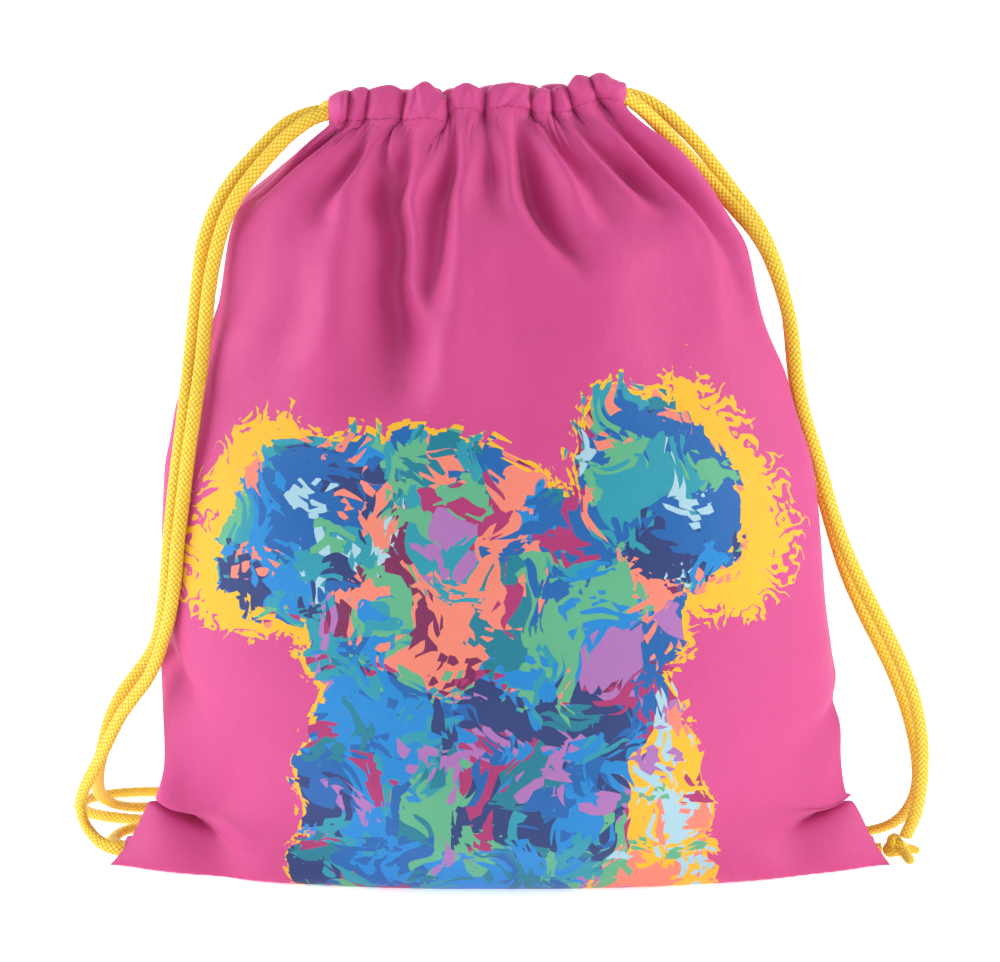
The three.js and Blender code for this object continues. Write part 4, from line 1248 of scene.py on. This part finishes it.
def cloth_material(name, printed):
    m = Nodes(name)
    p = m.uv((460, 460, 1))
    normal, h = weave(m, p)
    tone = m.noise(p, 0.012, 3.0)
    base = m.mix(m.math("MULTIPLY", tone, 0.22), PINK, lin(186, 52, 116))
    # lighter pink where the weave height h is high: a painted highlight on the raised threads, plus a real lighter yarn
    # tone along the slubs
    base = m.mix(m.math("MULTIPLY_ADD", h, 0.035, 0.03), base, lin(226, 110, 162))
    if printed:
        base = print_on(m, p, base)
    rough = m.math("MULTIPLY_ADD", m.noise(p, 0.9, 2.0), 0.14, 0.50)
    return m.finish(base, rough, normal, sheen=0.35, sheen_rough=0.35, sheen_tint=lin(255, 190, 220), spec=0.42)


def ellipse(m, p, cx, cy, rx, ry, rot=0.0):
    """Rough distance in millimetres outside an ellipse, negative inside."""
    q = m.vmath("SUBTRACT", p, (cx, cy, 0))
    if rot:
        n = m.t.nodes.new("ShaderNodeVectorRotate")
        n.rotation_type = "Z_AXIS"
        m.put(n.inputs["Vector"], q)
        n.inputs["Angle"].default_value = rot
        q = n.outputs[0]
    q = m.vmath("DIVIDE", q, (rx, ry, 1))
    q = m.vmath("MULTIPLY", q, (1, 1, 0))
    L = m.vmath("LENGTH", q, out=1)
    return m.math("MULTIPLY", m.math("SUBTRACT", L, 1.0), min(rx, ry))


def print_on(m, p, base):
    """All-over patchwork of ragged colour patches, with long yellow slivers along its upper sides."""
    big = m.vmath("SUBTRACT", m.noise(p, 0.03, 1.0, out=1), (0.5, 0.5, 0.5))
    flow = m.vmath("ADD", p, m.vmath("MULTIPLY", big, (30, 30, 0)))
    lean = m.vmath("MULTIPLY", flow, (1.0, 0.38, 1))
    lean2 = m.vmath("MULTIPLY", flow, (0.36, 1.0, 1))
    jag = m.vmath("SUBTRACT", m.cells(lean, 1 / 3.6), (0.5, 0.5, 0.5))       # one random step per sliver of cloth
    jag2 = m.vmath("SUBTRACT", m.cells(lean2, 1 / 3.2), (0.5, 0.5, 0.5))
    p1 = m.vmath("ADD", p, m.vmath("MULTIPLY", big, (20, 20, 0)))
    p1 = m.vmath("ADD", p1, m.vmath("MULTIPLY", jag, (7, 19, 0)))
    p2 = m.vmath("ADD", p, m.vmath("MULTIPLY", jag2, (17, 6, 0)))
    p2 = m.vmath("ADD", p2, m.vmath("MULTIPLY", big, (14, 14, 0)))
    q = m.vmath("ADD", p, m.vmath("MULTIPLY", m.vmath("ADD", jag, jag2), (4.5, 6, 0)))
    q = m.vmath("ADD", q, m.vmath("MULTIPLY", big, (12, 12, 0)))
    lobeL = ellipse(m, q, *LOBE_L)
    lobeR = ellipse(m, q, *LOBE_R)
    middle = ellipse(m, q, *MIDDLE)
    body = m.math("MINIMUM", ellipse(m, q, *BODY), ellipse(m, q, *CREST))
    lobes = m.math("MINIMUM", lobeL, lobeR)
    shape = m.math("MINIMUM", m.math("MINIMUM", lobes, middle), body)
    # patches
    ca = m.cells(p1, 1 / 24)
    cb = m.cells(p2, 1 / 12)
    cc = m.cells(m.vmath("MULTIPLY", p1, (1.0, 0.5, 1)), 1 / 7.5)
    ra, rb, rc = m.xyz(ca), m.xyz(cb), m.xyz(cc)
    pick = m.math("GREATER_THAN", rb[0], 0.60)
    idx = m.mix(pick, ra[1], rb[1], "FLOAT")
    pick2 = m.math("GREATER_THAN", rc[0], 0.82)
    idx = m.mix(pick2, idx, rc[1], "FLOAT")
    x1, y1, _ = m.xyz(p1)
    upper = m.ramp(idx, even([TEAL, BLUE, CORAL, SEA, LILAC, BLUE, GREEN, PLUM, TEAL, DEEP, CORAL, TEAL, WINE, GREEN]))
    low = m.ramp(idx, even([BLUE, SEA, PLUM, DEEP, LILAC, TEAL, NAVY, BLUE, GREEN, TEAL, PLUM, DEEP]))
    right = m.ramp(idx, even([YELLOW, PALE, CORAL, YELLOW, GREEN, LILAC, YELLOW, CORAL, PALE, YELLOW, PLUM]))
    lobec = m.ramp(idx, even([DEEP, BLUE, NAVY, TEAL, DEEP, CORAL, BLUE, NAVY, GREEN, DEEP, PALE, TEAL]))
    col = m.mix(m.math("LESS_THAN", y1, 150.0), upper, low)
    rr = m.math("ADD", m.math("MULTIPLY", x1, 1.0), m.math("MULTIPLY", y1, -0.35))
    col = m.mix(m.math("GREATER_THAN", rr, 195.0), col, right)
    col = m.mix(m.math("LESS_THAN", lobes, m.math("MULTIPLY_ADD", ra[2], 8.0, -9.0)), col, lobec)
    # yellow edging: long pointed slivers on the outer sides, a narrow ragged line elsewhere
    x0, y0, _ = m.xyz(p)
    aside = m.math("ABSOLUTE", m.math("SUBTRACT", x0, 170.0))
    outer = m.clamp01(m.math("MULTIPLY_ADD", aside, 1 / 26, -76 / 26))
    turn = m.math("ARCTAN2", m.math("SUBTRACT", y0, 212.0), m.math("SUBTRACT", aside, 52.0))
    wave = m.math("ADD", m.math("MULTIPLY", turn, 7.5), m.math("MULTIPLY", m.noise(p, 0.06, 2.0), 5.0))
    tooth = m.math("SUBTRACT", 1.0, m.math("ABSOLUTE", m.math("MULTIPLY_ADD", m.math("FRACT", wave), 2.0, -1.0)))
    fine = m.math("SUBTRACT", 1.0, m.math("ABSOLUTE", m.math("MULTIPLY_ADD", m.math("FRACT", m.math("MULTIPLY", wave, 2.63)), 2.0, -1.0)))
    reach = m.math("ADD", m.math("MULTIPLY", tooth, 12.0), m.math("MULTIPLY", fine, 5.0))
    high = m.clamp01(m.math("MULTIPLY_ADD", y0, 1 / 30, -150 / 30))
    band = m.math("MULTIPLY", m.math("ADD", reach, 4.0), m.math("MULTIPLY", outer, high))
    inside = m.math("LESS_THAN", shape, m.math("MULTIPLY", band, -0.18))
    edge = m.math("LESS_THAN", shape, m.math("ADD", band, 1.8))
    col = m.mix(inside, YELLOW, col)
    return m.mix(edge, base, col)


LOBE_L = (90, 214, 38, 50, 0.75)
LOBE_R = (248, 230, 36, 50, -0.55)
MIDDLE = (170, 176, 84, 62, 0.0)
CREST = (158, 234, 40, 27, 0.25)
BODY = (172, 70, 92, 118, 0.0)


def braid_material():
    """Hollow braid of round yarns crossing over and under; its colour follows the yarn height, with painted shade in
    the gaps and a painted highlight on the yarn tops, and a random lighter yarn tone.
    """
    m = Nodes("yellow_braid")
    u, v, _ = m.xyz(m.uv((1, 1, 1)))
    k, pitch = 8.0, 2.5
    a = m.math("ADD", m.math("MULTIPLY", u, k), m.math("DIVIDE", v, pitch))
    b = m.math("SUBTRACT", m.math("MULTIPLY", u, k), m.math("DIVIDE", v, pitch))
    fa, fb = m.math("FRACT", a), m.math("FRACT", b)
    par = m.math("FRACT", m.math("MULTIPLY", m.math("ADD", m.math("FLOOR", a), m.math("FLOOR", b)), 0.5))
    over = m.math("GREATER_THAN", par, 0.25)
    hump = lambda f: m.math("SUBTRACT", 1.0, m.math("POWER", m.math("ABSOLUTE", m.math("MULTIPLY_ADD", f, 2.0, -1.0)), 2.0))
    ha, hb = hump(fa), hump(fb)
    across = m.mix(over, ha, hb, "FLOAT")
    along = m.mix(over, hb, ha, "FLOAT")
    height = m.math("MULTIPLY", across, m.math("MULTIPLY_ADD", along, 0.55, 0.45))
    p = m.vmath("MULTIPLY", m.uv((16, 1, 1)), (1, 1, 1))
    fibre = m.noise(m.vmath("MULTIPLY", p, (5.0, 5.0, 1)), 1.0, 2.0)
    yarn = m.noise(p, 0.6, 2.0)
    # colour by yarn height: painted shade in the gaps between yarns, painted highlight on the yarn tops
    col = m.ramp(height, [(0.0, lin(190, 122, 6)), (0.22, lin(240, 182, 18)), (0.55, lin(255, 213, 36)), (1.0, lin(255, 230, 92))], "LINEAR")
    col = m.mix(m.math("MULTIPLY", yarn, 0.25), col, lin(255, 214, 60))
    n0 = m.bump(m.noise(p, 0.25, 2.0), 0.25, 0.0008)
    n1 = m.bump(height, 0.85, 0.00045, n0)
    n2 = m.bump(fibre, 0.25, 0.00012, n1)
    rough = m.math("MULTIPLY_ADD", fibre, 0.2, 0.34)
    return m.finish(col, rough, n2, sheen=0.25, sheen_rough=0.4, sheen_tint=lin(255, 240, 170), spec=0.5)


def thread_material(name, colour, light):
    m = Nodes(name)
    u, v, _ = m.xyz(m.uv((1, 1, 1)))
    ply = m.math("SINE", m.math("MULTIPLY", m.math("ADD", u, m.math("DIVIDE", v, 0.9)), 2 * math.pi * 2))
    # painted light on the thread: a painted highlight on the raised plies, painted shade in the grooves between them
    col = m.mix(m.math("MULTIPLY_ADD", ply, 0.3, 0.35), colour, light)
    n = m.bump(ply, 0.7, 0.00008)
    return m.finish(col, 0.45, n, sheen=0.2, spec=0.5)


def tape_material():
    m = Nodes("loop_tape")
    p = m.uv((460, 460, 1))
    x, y, _ = m.xyz(p)
    rib = m.math("SINE", m.math("MULTIPLY", y, 2 * math.pi / 0.9))
    rib2 = m.math("SINE", m.math("MULTIPLY", x, 2 * math.pi / 0.7))
    h = m.math("MULTIPLY_ADD", rib2, 0.4, rib)
    # painted highlight on the tape's rib tops, painted shade in the grooves between the ribs
    col = m.mix(m.math("MULTIPLY_ADD", h, 0.15, 0.2), lin(205, 52, 122), lin(240, 120, 175))
    col = m.mix(m.math("MULTIPLY", m.noise(p, 0.3, 3.0), 0.3), col, lin(176, 34, 98))
    return m.finish(col, 0.6, m.bump(h, 0.6, 0.00018), sheen=0.3, spec=0.4)


def seam_material():
    m = Nodes("seam_allowance")
    p = m.uv((460, 460, 1))
    normal, h = weave(m, p)
    x, y, _ = m.xyz(p)
    loops = m.math("SINE", m.math("MULTIPLY", y, 2 * math.pi / 1.8))
    # painted highlight on the raised overlock loops, painted shade between them
    col = m.mix(m.math("MULTIPLY_ADD", loops, 0.18, 0.3), lin(212, 62, 130), lin(240, 128, 180))
    return m.finish(col, 0.6, m.bump(loops, 0.4, 0.0002, normal), sheen=0.3, spec=0.4)


M_PRINT, M_PLAIN = cloth_material("printed_polyester", True), cloth_material("plain_polyester", False)
M_CORD = braid_material()
M_STITCH = thread_material("hem_thread", lin(176, 40, 108), lin(214, 84, 148))
M_TAPE, M_SEAM = tape_material(), seam_material()

for side, ob in enumerate(cloths):
    ob.data.materials.append(M_PRINT if side == 0 else M_PLAIN)
    ob.data.materials.append(M_PLAIN)
    ob.data.polygons.foreach_set("material_index", cloth_mats[side])
for ob in list(strands.values()) + knots + [r[0] for r in runs] + bights:
    ob.data.materials.append(M_CORD)
for ob in stitch_objects:
    ob.data.materials.append(M_STITCH)
for ob in seams:
    ob.data.materials.append(M_SEAM)
    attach(ob, "bag")
for ob in loops:
    ob.data.materials.append(M_TAPE)


# ------------------------------------------------------- mouth lips: cloth, stitches and cord runs, transforms baked
def lip_weights(ob):
    """Reads the vertex positions in millimetres and updates the mesh; it sets no weights."""
    n = len(ob.data.vertices)
    co = np.zeros(n * 3, np.float32)
    ob.data.vertices.foreach_get("co", co)
    co = co.reshape(-1, 3) / MM
    ob.data.update()


for side, lip in ((0, "front_lip"), (1, "back_lip")):
    group = [cloths[side], stitch_objects[side]] + [r[0] for r in runs if r[1] == side]
    for ob in group:
        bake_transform(ob)
        lip_weights(ob)


# ------------------------------------------------------------ floor, backdrop
def plane(name, size, loc, rot, colour, rough=0.9, emit=0.0):
    me = bpy.data.meshes.new(name)
    h = size / 2
    me.from_pydata([(-h, -h, 0), (h, -h, 0), (h, h, 0), (-h, h, 0)], [], [(0, 1, 2, 3)])
    ob = bpy.data.objects.new(name, me)
    ob.location, ob.rotation_euler = loc, rot
    scene.collection.objects.link(ob)
    mat = bpy.data.materials.new(name)
    mat.use_nodes = True
    b = mat.node_tree.nodes["Principled BSDF"]
    b.inputs["Base Color"].default_value = colour
    b.inputs["Roughness"].default_value = rough
    b.inputs["Specular IOR Level"].default_value = 0.1
    if emit:
        b.inputs["Emission Color"].default_value = (1, 1, 1, 1)
        b.inputs["Emission Strength"].default_value = emit
    me.materials.append(mat)
    return ob


plane("floor", 9.0, (0, 0, -0.0002), (0, 0, 0), (0.93, 0.93, 0.93, 1), emit=0.62)
plane("backdrop", 8.0, (0, 3.6, 1.0), (math.radians(90), 0, 0), (0.9, 0.9, 0.9, 1), emit=1.0)
